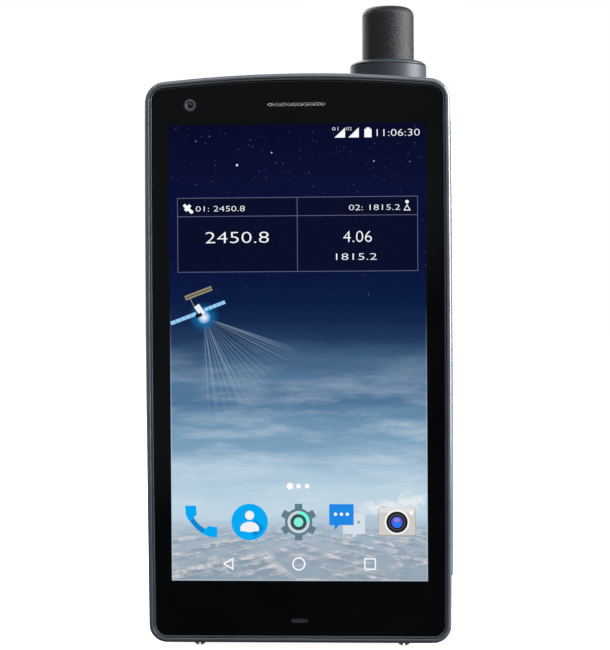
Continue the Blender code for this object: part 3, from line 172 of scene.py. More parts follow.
def joinAll(name, pieces):
    bpy.ops.object.select_all(action="DESELECT")
    for piece in pieces:
        piece.select_set(True)
    bpy.context.view_layer.objects.active = pieces[0]
    if len(pieces) > 1:
        bpy.ops.object.join()
    pieces[0].name = name
    return pieces[0]


def smoothed(piece, degrees=35):
    pickUp(piece)
    bpy.ops.object.shade_smooth_by_angle(angle=math.radians(degrees))
    useModifier(piece, "WEIGHTED_NORMAL", keep_sharp=True)
    return piece


def handOver(piece, node, look, stands=True):
    # gives a finished piece its material and its body, and hides the node that it stands for unless told not
    # to
    pickUp(piece)
    piece.data.materials.clear()
    piece.data.materials.append(look)
    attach(piece, bodyOf[node])
    if stands:
        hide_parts(node)
    return piece


# primitives that start most pieces

def startPlane(name, size, place):
    # an upright plane that faces the front
    bpy.ops.object.select_all(action="DESELECT")
    bpy.ops.mesh.primitive_plane_add(size=1, location=place, rotation=(math.pi / 2, 0, 0))
    plane = bpy.context.object
    plane.name = name
    plane.scale = (size[0], size[1], 1)
    settle(plane)
    return plane


def startBlock(name, low, high):
    low = Vector(low)
    high = Vector(high)
    bpy.ops.object.select_all(action="DESELECT")
    bpy.ops.mesh.primitive_cube_add(size=1, location=(low + high) / 2)
    block = bpy.context.object
    block.name = name
    block.scale = high - low
    settle(block)
    return block


def startDrum(name, radius, low, high, centre, axis="Z", sides=96):
    # a round bar between two heights along its axis
    turn = {"Z": (0, 0, 0), "Y": (-math.pi / 2, 0, 0)}[axis]
    along = Vector({"Z": (0, 0, 1), "Y": (0, 1, 0)}[axis])
    place = Vector(centre) + along * ((low + high) / 2)
    bpy.ops.object.select_all(action="DESELECT")
    bpy.ops.mesh.primitive_cylinder_add(
        vertices=sides, radius=radius, depth=high - low, location=place, rotation=turn
    )
    drum = bpy.context.object
    drum.name = name
    settle(drum)
    return drum


def pillBlock(name, low, high, axis, radius, steps=8):
    # a block whose four edges along one axis are rounded
    block = startBlock(name, low, high)
    across = [i for i in range(3) if i != "XYZ".index(axis)]

    def along(edge):
        step = edge.verts[1].co - edge.verts[0].co
        return all(abs(step[i]) < 1e-6 for i in across)

    startEdit(block)
    pickEdges(block, along)
    roundPicked(radius, steps)
    endEdit()
    return block


def roundBox(node, axis):
    # the box of a round node, its radius and its centre line
    low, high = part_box(node)
    centre = (low + high) / 2
    centre["XYZ".index(axis)] = 0
    return low, high, (high.x - low.x) / 2, centre


# the phone's outline: a rounded rectangle with an arched top and slightly bowed sides

bodyShape = {
    "cornerRadius": 4.5 * mm,
    "crownRise": 2.2 * mm,
    "sideBow": 0.3 * mm,
    "cornerSteps": 10,
    "edgeCuts": 31,
    "smallestCorner": 0.6 * mm,
}
bumperLow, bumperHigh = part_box("front_bumper")
glassLow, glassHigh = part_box("cover_glass")
bodyHalf = bumperHigh.x
bodyMiddle = (bumperLow.z + bumperHigh.z) / 2
bodyHalfHeight = (bumperHigh.z - bumperLow.z) / 2
crownRise = bodyShape["crownRise"]
crownRadius = (bodyHalf**2 + crownRise**2) / (2 * crownRise)


def crownDrop(x):
    return crownRadius - math.sqrt(crownRadius**2 - x**2)


def sideDrop(z):
    return bodyShape["sideBow"] * ((z - bodyMiddle) / bodyHalfHeight) ** 2


def insideBy(point):
    # how far a point lies inside the outline, seen from the front
    radius = bodyShape["cornerRadius"]
    across = abs(point.x) + sideDrop(point.z) - (bodyHalf - radius)
    if point.z > bodyMiddle:
        up = point.z + crownDrop(point.x) - (bumperHigh.z - radius)
    else:
        up = (bumperLow.z + radius) - point.z
    if max(across, up) <= 0:
        return radius - max(across, up)
    return radius - math.hypot(max(across, 0), max(up, 0))


def outlinePlate(name, inset, front, back):
    # a plate of the phone's outline, set in all round
    size = (2 * (bodyHalf - inset), 2 * (bodyHalfHeight - inset))
    plate = startPlane(name, size, (0, back, bodyMiddle))
    radius = max(bodyShape["cornerRadius"] - inset, bodyShape["smallestCorner"])
    roundCorners(plate, radius, bodyShape["cornerSteps"])
    startEdit(plate)
    pickEdges(plate, lambda edge: edge.calc_length() > bodyHalf)
    bpy.ops.mesh.subdivide(number_cuts=bodyShape["edgeCuts"])
    endEdit()
    for vert in plate.data.vertices:
        x, z = vert.co.x, vert.co.z
        vert.co.x -= math.copysign(sideDrop(z), x)
        if z > bodyMiddle:
            vert.co.z -= crownDrop(x)
    startEdit(plate)
    bpy.ops.mesh.select_all(action="SELECT")
    extrudePicked((0, front - back, 0))
    faceOutward()
    endEdit()
    return plate


# materials

def addNode(tree, kind, inputs=None, **settings):
    node = tree.nodes.new(kind)
    for key, value in settings.items():
        setattr(node, key, value)
    for key, value in (inputs or {}).items():
        if isinstance(value, bpy.types.NodeSocket):
            tree.links.new(value, node.inputs[key])
        else:
            node.inputs[key].default_value = value
    return node


def calc(tree, operation, first, second=0.0, third=0.0):
    return addNode(tree, "ShaderNodeMath", {0: first, 1: second, 2: third}, operation=operation).outputs[0]


def minus(tree, first, second):
    return calc(tree, "SUBTRACT", first, second)


def times(tree, product, *others):
    for other in others:
        product = calc(tree, "MULTIPLY", product, other)
    return product


def spread(tree, value, fromLow, fromHigh, toLow=0.0, toHigh=1.0):
    inputs = {"Value": value, "From Min": fromLow, "From Max": fromHigh, "To Min": toLow, "To Max": toHigh}
    return addNode(tree, "ShaderNodeMapRange", inputs, clamp=True).outputs["Result"]


def blendColour(tree, amount, first, second):
    node = addNode(tree, "ShaderNodeMix", data_type="RGBA")
    for socket, value in ((node.inputs[0], amount), (node.inputs[6], first), (node.inputs[7], second)):
        if isinstance(value, bpy.types.NodeSocket):
            tree.links.new(value, socket)
        else:
            socket.default_value = (*value, 1) if isinstance(value, tuple) else value
    return node.outputs[2]


def noise(tree, vector, size, detail=3.0, rough=0.55):
    inputs = {"Vector": vector, "Scale": 1 / size, "Detail": detail, "Roughness": rough}
    return addNode(tree, "ShaderNodeTexNoise", inputs).outputs["Fac"]


def tone(red, green, blue):
    # a screen colour from 0 to 255 as a linear one
    levels = [channel / 255 for channel in (red, green, blue)]
    return tuple(c / 12.92 if c <= 0.04045 else ((c + 0.055) / 1.055) ** 2.4 for c in levels)


def newMaterial(name, **sockets):
    made = bpy.data.materials.new(name)
    made.use_nodes = True
    shader = made.node_tree.nodes["Principled BSDF"]
    for key, value in sockets.items():
        shader.inputs[key.replace("_", " ")].default_value = value
    return made, made.node_tree, shader


def pressIn(tree, shader, height, distance, strength):
    relief = addNode(tree, "ShaderNodeBump", {"Height": height, "Distance": distance, "Strength": strength})
    tree.links.new(relief.outputs[0], shader.inputs["Normal"])


def surface(name, look):
    # slow drift of colour, fine grain in colour, gloss and relief
    made, tree, shader = newMaterial(
        name, Metallic=look.get("metal", 0.0), Coat_Weight=look.get("coat", 0.0), Coat_Roughness=0.1,
        Specular_IOR_Level=look.get("gloss", 0.5),
    )
    coords = addNode(tree, "ShaderNodeTexCoord").outputs["Object"]
    grainCoords = coords
    if "stretch" in look:
        grainCoords = addNode(
            tree, "ShaderNodeMapping", {"Vector": coords, "Scale": look["stretch"]}
        ).outputs["Vector"]
    drift = noise(tree, coords, 14 * mm, 2.0)
    grain = noise(tree, grainCoords, look["grain"], 4.0, 0.65)
    base = blendColour(tree, spread(tree, drift, 0.35, 0.65), look["colour"], look["tint"])
    speckle = spread(tree, grain, 0.3, 0.7, 1 - look["speckle"], 1 + look["speckle"])
    toned = addNode(tree, "ShaderNodeVectorMath", {0: base, 3: speckle}, operation="SCALE").outputs[0]
    tree.links.new(toned, shader.inputs["Base Color"])
    low, high = look["rough"]
    mixed = calc(tree, "MULTIPLY_ADD", drift, 0.5, times(tree, grain, 0.5))
    tree.links.new(spread(tree, mixed, 0.35, 0.65, low, high), shader.inputs["Roughness"])
    pressIn(tree, shader, grain, look["relief"], look.get("press", 0.6))
    return made


finishes = {
    "housing": {
        "colour": (0.042, 0.050, 0.058), "tint": (0.047, 0.055, 0.064), "rough": (0.38, 0.50),
        "grain": 0.16 * mm, "speckle": 0.22, "relief": 0.02 * mm, "press": 0.5,
    },
    "slate_frame": {
        "colour": (0.070, 0.086, 0.102), "tint": (0.080, 0.097, 0.113), "rough": (0.24, 0.34),
        "grain": 0.10 * mm, "speckle": 0.10, "relief": 0.004 * mm, "coat": 0.5,
    },
    "lip": {
        "colour": (0.036, 0.043, 0.052), "tint": (0.043, 0.050, 0.060), "rough": (0.35, 0.45),
        "grain": 0.12 * mm, "speckle": 0.15, "relief": 0.006 * mm,
    },
    "satin_rail": {
        "colour": (0.40, 0.43, 0.45), "tint": (0.46, 0.49, 0.51), "rough": (0.30, 0.42), "metal": 0.35,
        "grain": 0.08 * mm, "stretch": (1, 1, 0.03), "speckle": 0.06, "relief": 0.004 * mm,
    },
    "key": {
        "colour": (0.44, 0.47, 0.49), "tint": (0.50, 0.53, 0.55), "rough": (0.28, 0.4), "metal": 0.4,
        "grain": 0.10 * mm, "speckle": 0.06, "relief": 0.004 * mm,
    },
    "sos_key": {
        "colour": (0.78, 0.17, 0.025), "tint": (0.84, 0.21, 0.035), "rough": (0.35, 0.5),
        "grain": 0.15 * mm, "speckle": 0.08, "relief": 0.012 * mm,
    },
    "alloy": {
        "colour": (0.38, 0.39, 0.40), "tint": (0.46, 0.47, 0.48), "rough": (0.38, 0.55), "metal": 1.0,
        "grain": 0.3 * mm, "speckle": 0.15, "relief": 0.02 * mm,
    },
    "steel": {
        "colour": (0.68, 0.69, 0.70), "tint": (0.74, 0.75, 0.76), "rough": (0.10, 0.2), "metal": 1.0,
        "grain": 0.1 * mm, "speckle": 0.06, "relief": 0.003 * mm,
    },
    "silver_mesh": {
        "colour": (0.86, 0.86, 0.86), "tint": (0.92, 0.92, 0.92), "rough": (0.30, 0.45),
        "grain": 0.1 * mm, "speckle": 0.08, "relief": 0.004 * mm,
    },
    "tin": {
        "colour": (0.58, 0.58, 0.56), "tint": (0.68, 0.68, 0.66), "rough": (0.28, 0.42), "metal": 1.0,
        "grain": 0.12 * mm, "stretch": (0.05, 1, 1), "speckle": 0.12, "relief": 0.004 * mm,
    },
    "gold_contact": {
        "colour": (0.80, 0.56, 0.22), "tint": (0.88, 0.66, 0.30), "rough": (0.18, 0.3), "metal": 1.0,
        "grain": 0.1 * mm, "speckle": 0.08, "relief": 0.003 * mm,
    },
    "radome": {
        "colour": (0.007, 0.009, 0.011), "tint": (0.010, 0.012, 0.015), "rough": (0.38, 0.50),
        "grain": 0.44 * mm, "speckle": 0.5, "relief": 0.20 * mm, "press": 1.0, "gloss": 0.24,
    },
    "collar": {
        "colour": (0.022, 0.030, 0.038), "tint": (0.028, 0.037, 0.046), "rough": (0.40, 0.50),
        "grain": 0.14 * mm, "speckle": 0.12, "relief": 0.008 * mm, "gloss": 0.3,
    },
    "rubber": {
        "colour": (0.020, 0.021, 0.023), "tint": (0.028, 0.029, 0.031), "rough": (0.65, 0.85),
        "grain": 0.2 * mm, "speckle": 0.2, "relief": 0.02 * mm,
    },
    "former": {
        "colour": (0.55, 0.46, 0.30), "tint": (0.64, 0.55, 0.38), "rough": (0.4, 0.55),
        "grain": 0.2 * mm, "speckle": 0.1, "relief": 0.01 * mm,
    },
    "flash_diffuser": {
        "colour": (0.78, 0.78, 0.66), "tint": (0.86, 0.86, 0.76), "rough": (0.22, 0.32),
        "grain": 0.3 * mm, "speckle": 0.05, "relief": 0.02 * mm, "coat": 0.6,
    },
}
looks = {name: surface(name, settings) for name, settings in finishes.items()}


def glossyGlass(name, colour, tint, rough, coat):
    # dark polished glass with the faintest unevenness in its gloss
    made, tree, shader = newMaterial(name, Coat_Weight=coat, Coat_Roughness=0.02, IOR=1.5)
    coords = addNode(tree, "ShaderNodeTexCoord").outputs["Object"]
    drift = noise(tree, coords, 18 * mm, 3.0)
    base = blendColour(tree, spread(tree, drift, 0.3, 0.7), colour, tint)
    tree.links.new(base, shader.inputs["Base Color"])
    tree.links.new(spread(tree, drift, 0.3, 0.7, rough, rough * 1.8), shader.inputs["Roughness"])
    return made


for name, *glassLook in (  # name, two colours, roughness, coat
    ("cover_glass", (0.0016, 0.0018, 0.0022), (0.0026, 0.0030, 0.0036), 0.03, 0.0),
    ("clear_lens", (0.004, 0.004, 0.010), (0.010, 0.006, 0.026), 0.02, 0.8),
):
    looks[name] = glossyGlass(name, *glassLook)


def circuitBoard():
    # tracks from bands of slow noise, with bright pads at the middles of small cells
    look = {
        "mask": (0.012, 0.11, 0.065), "track": (0.03, 0.20, 0.12), "pad": (0.75, 0.6, 0.3),
        "pitch": 0.9 * mm, "bands": 22.0, "padSize": 0.12,
    }
    made, tree, shader = newMaterial("circuit_board", Coat_Weight=0.4)
    coords = addNode(tree, "ShaderNodeTexCoord").outputs["Object"]
    flat = addNode(tree, "ShaderNodeMapping", {"Vector": coords, "Rotation": (math.pi / 2, 0, 0)}).outputs[0]
    cells = addNode(
        tree, "ShaderNodeTexVoronoi", {"Vector": flat, "Scale": 0.4 / look["pitch"]}, distance="CHEBYCHEV"
    )
    waves = noise(tree, flat, 3 * look["pitch"], 1.0)
    tracks = calc(tree, "GREATER_THAN", calc(tree, "FRACT", times(tree, waves, look["bands"])), 0.55)
    pads = calc(tree, "LESS_THAN", cells.outputs["Distance"], look["padSize"])
    base = blendColour(tree, tracks, look["mask"], look["track"])
    base = blendColour(tree, pads, base, look["pad"])
    tree.links.new(base, shader.inputs["Base Color"])
    tree.links.new(pads, shader.inputs["Metallic"])
    tree.links.new(spread(tree, waves, 0.3, 0.7, 0.3, 0.45), shader.inputs["Roughness"])
    pressIn(tree, shader, tracks, 0.02 * mm, 0.5)
    return made


def batteryWrap():
    # a dark wrap with a pale printed panel and ruled lines, no wording
    look = {
        "wrap": (0.030, 0.032, 0.036), "panel": (0.42, 0.43, 0.44), "line": (0.08, 0.09, 0.10),
        "margin": 6 * mm, "linesPerMetre": 220.0, "lineShare": 0.12,
    }
    low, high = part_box("battery")
    middle = (low + high) / 2
    half = (high - low) / 2
    made, tree, shader = newMaterial("battery_wrap", Coat_Weight=0.3)
    coords = addNode(tree, "ShaderNodeTexCoord").outputs["Object"]
    part = addNode(tree, "ShaderNodeSeparateXYZ", {"Vector": coords})
    fromX = calc(tree, "ABSOLUTE", minus(tree, part.outputs["X"], middle.x))
    fromZ = calc(tree, "ABSOLUTE", minus(tree, part.outputs["Z"], middle.z))
    inX = calc(tree, "LESS_THAN", fromX, half.x - look["margin"])
    inZ = calc(tree, "LESS_THAN", fromZ, half.z - 2 * look["margin"])
    panel = times(tree, inX, inZ)
    ruling = calc(tree, "FRACT", times(tree, part.outputs["Z"], look["linesPerMetre"]))
    rows = calc(tree, "LESS_THAN", ruling, look["lineShare"])
    grain = noise(tree, coords, 0.3 * mm)
    base = blendColour(tree, panel, look["wrap"], look["panel"])
    base = blendColour(tree, times(tree, panel, rows), base, look["line"])
    tree.links.new(base, shader.inputs["Base Color"])
    tree.links.new(spread(tree, grain, 0.3, 0.7, 0.4, 0.55), shader.inputs["Roughness"])
    return made


looks["circuit_board"] = circuitBoard()
looks["battery_wrap"] = batteryWrap()
print("materials made:", len(looks))


# the lit picture: night sky that pales down to clouds

screen = {
    "width": 64.75 * mm,
    "height": 115.1 * mm,
    "bottom": 15.74 * mm,  # above the bottom face
    "strength": 1.0,
}
screenLeft = -screen["width"] / 2
screenBottom = bumperLow.z + screen["bottom"]
screenTop = screenBottom + screen["height"]

statusPanel = {  # in millimetres from the screen's top left corner
    "left": 2.15, "right": 62.57, "top": 18.37, "bottom": 37.0, "row": 23.0, "middle": 32.39, "line": 0.16,
}

sky = {
    "stops": [  # share of the way down, colour
        (0.00, (1, 4, 38)), (0.12, (3, 10, 50)), (0.30, (2, 12, 55)), (0.383, (4, 25, 65)),
        (0.427, (13, 35, 73)), (0.471, (32, 57, 94)), (0.515, (66, 98, 132)), (0.565, (84, 119, 153)),
        (0.603, (76, 114, 150)), (0.638, (104, 142, 173)), (0.70, (122, 160, 188)), (0.75, (160, 188, 210)),
        (0.80, (180, 206, 222)), (0.85, (193, 213, 228)), (0.885, (166, 188, 206)), (0.93, (160, 177, 192)),
        (1.00, (146, 162, 175)),
    ],
    "wisp": (222, 232, 240),
    "cloudLight": (226, 220, 219),
    "cloudShade": (134, 154, 171),
    "tower": (236, 240, 243),
    "towerFoot": (47 * mm, 97.2 * mm),  # across and down
    "towerLean": -0.16,
    "towerSpread": 11 * mm,
    "stars": ((0.85, 0.18, 0.4), (3.6, 0.06, 0.7), (9.0, 0.04, 1.6)),  # spacing, size, brightness
    "panel": (2, 6, 31),
    "panelCover": 0.72,
    "beacon": (8.66 * mm, 48.4 * mm),
    "beams": (190, 215, 240),
    "glow": (0, 135, 205),
    "core": (225, 240, 252),
    "horizon": 96.5 * mm,
    "nearest": 18 * mm,
    "depth": 1.7,
    "edge": (190, 205, 220),
    "edgeWidth": 0.3 * mm,
}
cloud = {
    "broad": 13 * mm,
    "fine": 2.2 * mm,
    "swirl": 3.5 * mm,
    "stir": 3.0 * mm,
    "puff": 5.2 * mm,
    "climb": 0.8 * mm,
}


def starField(tree, plane, size, cut, brightest):
    # one speck in some of the cells, each with its own brightness
    cells = addNode(tree, "ShaderNodeTexVoronoi", {"Vector": plane, "Scale": 1 / size, "Randomness": 1.0})
    fall = spread(tree, cells.outputs["Distance"], cut, cut * 0.35)
    pick = addNode(tree, "ShaderNodeSeparateColor", {"Color": cells.outputs["Color"]}).outputs[0]
    level = spread(tree, pick, 0.45, 1.0, 0.0, brightest)
    return times(tree, fall, calc(tree, "POWER", level, 2.0))


def cloudHeight(tree, across, deep):
    place = addNode(tree, "ShaderNodeCombineXYZ", {"X": across, "Y": deep}).outputs[0]
    broad = noise(tree, place, cloud["broad"], 3.0, 0.5)
    fine = noise(tree, place, cloud["fine"], 5.0, 0.62)
    swirl = addNode(
        tree, "ShaderNodeTexNoise", {"Vector": place, "Scale": 1 / cloud["swirl"], "Detail": 3.0}
    ).outputs["Color"]
    stirred = addNode(
        tree, "ShaderNodeVectorMath", {0: swirl, 1: (cloud["stir"],) * 3, 2: place}, operation="MULTIPLY_ADD"
    ).outputs[0]
    puffs = addNode(
        tree, "ShaderNodeTexVoronoi", {"Vector": stirred, "Scale": 1 / cloud["puff"], "Smoothness": 0.5},
        feature="SMOOTH_F1",
    ).outputs["Distance"]
    return calc(tree, "MULTIPLY_ADD", puffs, -0.30, calc(tree, "MULTIPLY_ADD", fine, 0.20, broad))


def cloudBank(tree, across, deep):
    # how thick the cloud is at a place, and how much light falls on it from above
    here = cloudHeight(tree, across, deep)
    beyond = cloudHeight(tree, across, calc(tree, "ADD", deep, cloud["climb"]))
    return spread(tree, here, 0.30, 0.60), spread(tree, minus(tree, here, beyond), -0.02, 0.075)


def streaks(tree, plane, drawn, lean, size, detail, rough):
    # noise drawn out sideways and leaning a little
    inputs = {"Vector": plane, "Scale": (drawn, 1, 1), "Rotation": (0, 0, lean)}
    return noise(tree, addNode(tree, "ShaderNodeMapping", inputs).outputs[0], size, detail, rough)


def broadColours(tree, at):
    # from night down to cloud, pushed up and down a little by slow streaks
    swell = minus(tree, streaks(tree, at["plane"], 0.22, 0.06, 7 * mm, 5.0, 0.6), 0.5)
    lift = times(tree, swell, spread(tree, at["share"], 0.38, 0.6, 0.0, 0.10))
    ramp = addNode(tree, "ShaderNodeValToRGB", {"Fac": calc(tree, "ADD", at["share"], lift)})
    stops = ramp.color_ramp.elements
    while len(stops) < len(sky["stops"]):
        stops.new(1.0)
    for stop, (place, colour) in zip(stops, sky["stops"]):
        stop.position = place
        stop.color = (*tone(*colour), 1)
    return ramp.outputs["Color"]


def highWisps(tree, at, picture):
    wisps = streaks(tree, at["plane"], 0.2, -0.07, 7.5 * mm, 9.0, 0.66)
    above = spread(tree, at["share"], 0.47, 0.66)
    below = spread(tree, at["share"], 0.86, 0.82)
    amount = times(tree, spread(tree, wisps, 0.46, 0.74), above, below, 0.6)
    return blendColour(tree, amount, picture, tone(*sky["wisp"]))


def cloudSea(tree, at, picture):
    # banks of cloud that grow towards the viewer from the horizon, light on their tops
    ahead = calc(tree, "MAXIMUM", minus(tree, at["down"], sky["horizon"]), 0.4 * mm)
    near = calc(tree, "DIVIDE", sky["nearest"], ahead)
    across = times(tree, minus(tree, at["right"], screen["width"] / 2), near)
    deep = times(tree, calc(tree, "LOGARITHM", near, math.e), sky["depth"] * sky["nearest"])
    cover, lit = cloudBank(tree, across, deep)
    colour = blendColour(tree, lit, tone(*sky["cloudShade"]), tone(*sky["cloudLight"]))
    thick = times(tree, cover, spread(tree, at["share"], 0.865, 0.90, 0.0, 0.9))
    return blendColour(tree, thick, picture, colour)


def tallCloud(tree, at, picture):
    # one tall cloud stands above the horizon at the right
    footX, footZ = sky["towerFoot"]
    puff = noise(tree, at["plane"], 2.6 * mm, 8.0, 0.6)
    crest = calc(tree, "MULTIPLY_ADD", minus(tree, at["right"], footX), sky["towerLean"], footZ)
    off = calc(tree, "ABSOLUTE", minus(tree, at["down"], crest))
    body = calc(tree, "MULTIPLY_ADD", minus(tree, puff, 0.5), sky["towerSpread"], off)
    patch = times(
        tree,
        spread(tree, body, 2.0 * mm, 0.2 * mm),
        spread(tree, at["right"], 46 * mm, 51 * mm),
        spread(tree, puff, 0.38, 0.55, 0.5, 1.0),
    )
    return blendColour(tree, patch, picture, tone(*sky["tower"]))


def paleRim(tree, at, picture):
    # a pale line round the lower part of the picture
    side = calc(tree, "MINIMUM", at["right"], minus(tree, screen["width"], at["right"]))
    rim = calc(tree, "MINIMUM", side, minus(tree, screen["height"], at["down"]))
    line = calc(tree, "LESS_THAN", rim, sky["edgeWidth"])
    border = times(tree, line, spread(tree, at["share"], 0.4, 0.8, 0.0, 0.55))
    return blendColour(tree, border, picture, tone(*sky["edge"]))


def starLight(tree, at, picture):
    # dust, small stars and a few bright ones, which thin out towards the horizon
    night = spread(tree, at["share"], 0.44, 0.26)
    dust, specks, bright = (starField(tree, at["plane"], size * mm, *rest) for size, *rest in sky["stars"])
    level = calc(tree, "ADD", dust, calc(tree, "ADD", specks, bright))
    stars = calc(tree, "MINIMUM", times(tree, level, night), 1.0)
    return blendColour(tree, stars, picture, (0.95, 0.97, 1.0))


def darkPanel(tree, at, picture):
    # the darkened panel behind the status boxes
    left, far, top, bottom = (statusPanel[key] * mm for key in ("left", "right", "top", "bottom"))
    inside = calc(tree, "GREATER_THAN", at["right"], left)
    for first, second in ((far, at["right"]), (at["down"], top), (bottom, at["down"])):
        inside = times(tree, inside, calc(tree, "GREATER_THAN", first, second))
    return blendColour(tree, times(tree, inside, sky["panelCover"]), picture, tone(*sky["panel"]))


def beaconLight(tree, at, picture):
    # a glow with a bright core, and beams that fan out below it
    fromX, fromZ = (minus(tree, at[key], place) for key, place in zip(("right", "down"), sky["beacon"]))
    reach = calc(tree, "SQRT", calc(tree, "MULTIPLY_ADD", fromX, fromX, times(tree, fromZ, fromZ)))
    turn = calc(tree, "ARCTAN2", fromX, fromZ)
    rays = addNode(
        tree, "ShaderNodeTexNoise", {"W": turn, "Scale": 13.0, "Detail": 1.0, "Roughness": 0.6},
        noise_dimensions="1D",
    ).outputs["Fac"]
    comb = calc(tree, "FRACT", calc(tree, "MULTIPLY_ADD", rays, 1.6, times(tree, turn, 12.0)))
    beam = spread(tree, calc(tree, "ABSOLUTE", minus(tree, comb, 0.5)), 0.22, 0.06)
    fan = times(tree, spread(tree, turn, -0.06, 0.02), spread(tree, turn, 1.32, 1.24))
    fade = times(tree, spread(tree, reach, 26 * mm, 5 * mm), spread(tree, reach, 1.5 * mm, 4 * mm))
    picture = blendColour(tree, times(tree, beam, fan, fade, 0.30), picture, tone(*sky["beams"]))
    halo = calc(tree, "POWER", spread(tree, reach, 4.2 * mm, 0.6 * mm), 1.6)
    picture = blendColour(tree, times(tree, halo, 0.95), picture, tone(*sky["glow"]))
    return blendColour(tree, spread(tree, reach, 1.7 * mm, 0.3 * mm), picture, tone(*sky["core"]))


def litMaterial(name, base):
    made, tree, shader = newMaterial(name, Roughness=0.05, Specular_IOR_Level=0.08)
    shader.inputs["Base Color"].default_value = (*base, 1)
    shader.inputs["Emission Strength"].default_value = screen["strength"]
    return made, tree, shader


def skyPicture():
    made, tree, shader = litMaterial("screen_picture", (0.002, 0.002, 0.003))
    coords = addNode(tree, "ShaderNodeTexCoord").outputs["Object"]
    part = addNode(tree, "ShaderNodeSeparateXYZ", {"Vector": coords})
    right = minus(tree, part.outputs["X"], screenLeft)
    down = minus(tree, screenTop, part.outputs["Z"])
    at = {
        "right": right,
        "down": down,
        "share": calc(tree, "DIVIDE", down, screen["height"]),
        "plane": addNode(tree, "ShaderNodeCombineXYZ", {"X": right, "Y": down}).outputs[0],
    }
    picture = broadColours(tree, at)
    for paint in (highWisps, cloudSea, tallCloud, paleRim, starLight, darkPanel, beaconLight):
        picture = paint(tree, at, picture)
    tree.links.new(picture, shader.inputs["Emission Color"])
    return made


def litInk():
    # each shape on the screen carries its own colour in its tone attribute
    made, tree, shader = litMaterial("lit_ink", (0.002, 0.002, 0.002))
    colour = addNode(tree, "ShaderNodeAttribute", attribute_name="tone")
    tree.links.new(colour.outputs["Color"], shader.inputs["Emission Color"])
    return made


looks["screen_picture"] = skyPicture()
looks["lit_ink"] = litInk()


# front: bumper ring, inner lip, black glass and the screen in it

front = {
    "bumperWidth": 1.15 * mm,
    "bumperRound": 0.8 * mm,
    "lipWidth": 0.5 * mm,
    "lipGap": 0.1 * mm,
    "ledgeWidth": 1.3 * mm,
    "glassGap": 0.2 * mm,
    "glassRound": 0.1 * mm,
    "innerRound": 0.12 * mm,
    "backRound": 0.15 * mm,
    "lipRound": 0.13 * mm,
    "screenRound": 0.03 * mm,
    "seam": 0.01 * mm,
    "overcut": 1 * mm,
}
hair = 0.01 * mm  # how near to a face a point has to be to belong to it


def frontBumper():
    ring = outlinePlate("front_bumper_ring", 0, bumperLow.y, bumperHigh.y)
    over = front["overcut"]
    cutWith(ring, outlinePlate("hole", front["bumperWidth"], bumperLow.y - over, bumperHigh.y + over))
    half = front["bumperWidth"] / 2
    near = bumperLow.y + hair
    roundWhere(ring, lambda co: co.y < near and insideBy(co) < half, front["bumperRound"], 8)
    roundWhere(ring, lambda co: co.y < near and insideBy(co) > half, front["innerRound"], 3)
    roundWhere(ring, lambda co: co.y > bumperHigh.y - hair and insideBy(co) < half, front["backRound"], 3)
    handOver(smoothed(ring), "front_bumper", looks["slate_frame"])


def innerLip():
    low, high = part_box("glass_bezel")
    outer = front["bumperWidth"] + front["lipGap"]
    seat = outer + front["lipWidth"]
    ring = outlinePlate("glass_bezel_lip", outer, low.y, high.y)
    over = front["overcut"]
    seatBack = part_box("display_gasket")[1].y + 0.1 * mm
    cutWith(
        ring,
        outlinePlate("seat", seat, low.y - over, seatBack),
        outlinePlate("hole", seat + front["ledgeWidth"], low.y - over, high.y + over),
    )
    roundWhere(ring, lambda co: co.y < low.y + hair, front["lipRound"], 3)
    handOver(smoothed(ring), "glass_bezel", looks["lip"])


def coverGlass():
    inset = front["bumperWidth"] + front["lipGap"] + front["lipWidth"] + front["glassGap"]
    glass = outlinePlate("cover_glass_sheet", inset, glassLow.y, glassHigh.y)
    roundWhere(glass, lambda co: co.y < glassLow.y + hair, front["glassRound"], 4)
    near, far = glassLow.y - front["overcut"], glassHigh.y + front["overcut"]
    openings = [startBlock("window", (screenLeft, near, screenBottom), (-screenLeft, far, screenTop))]
    for node, grow in (("earpiece_mesh", 0.2 * mm), ("microphone_boot", 0.1 * mm)):
        low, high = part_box(node)
        size = high.z - low.z + 2 * grow
        corners = (low.x - grow, near, low.z - grow), (high.x + grow, far, high.z + grow)
        openings.append(pillBlock(node + "_slot", *corners, "Y", size * 0.48))
    radius, centre = roundBox("front_camera_ring", "Y")[2:]
    openings.append(startDrum("sight", radius, near, far, centre, "Y", 64))
    cutWith(glass, *openings)
    handOver(smoothed(glass, 30), "cover_glass", looks["cover_glass"])


def litScreen():
    seam = front["seam"]
    panel = startBlock(
        "lit_screen",
        (screenLeft + seam, glassLow.y, screenBottom + seam),
        (-screenLeft - seam, glassHigh.y, screenTop - seam),
    )
    roundWhere(panel, lambda co: co.y < glassLow.y + seam, front["screenRound"], 2)
    handOver(smoothed(panel), "display_panel", looks["screen_picture"], stands=False)


frontBumper()
innerLip()
coverGlass()
litScreen()
print("bumper, lip, glass and screen modelled")


# what the screen shows: flat shapes a hair in front of the glass, each one lit

inkStep = 0.02 * mm
capShare = 0.72  # share of the type size that a figure stands high
thinning = 0.018  # how much is taken off the strokes, by height


def onScreen(right, down, layer=1):
    # a place given in millimetres from the screen's top left corner
    return Vector((screenLeft + right * mm, glassLow.y - layer * inkStep, screenTop - down * mm))


def inked(piece, colour, turn=0.0):
    # turns a flat shape in its plane, then paints it
    if turn:
        piece.rotation_euler = (0, turn, 0)
        settle(piece)
    layer = piece.data.color_attributes.new("tone", "FLOAT_COLOR", "CORNER")
    for corner in layer.data:
        corner.color = (*tone(*colour), 1)
    return piece


def centred(piece, place):
    # brings a shape that was made round the origin to its place
    piece.location = place
    settle(piece)
    return piece


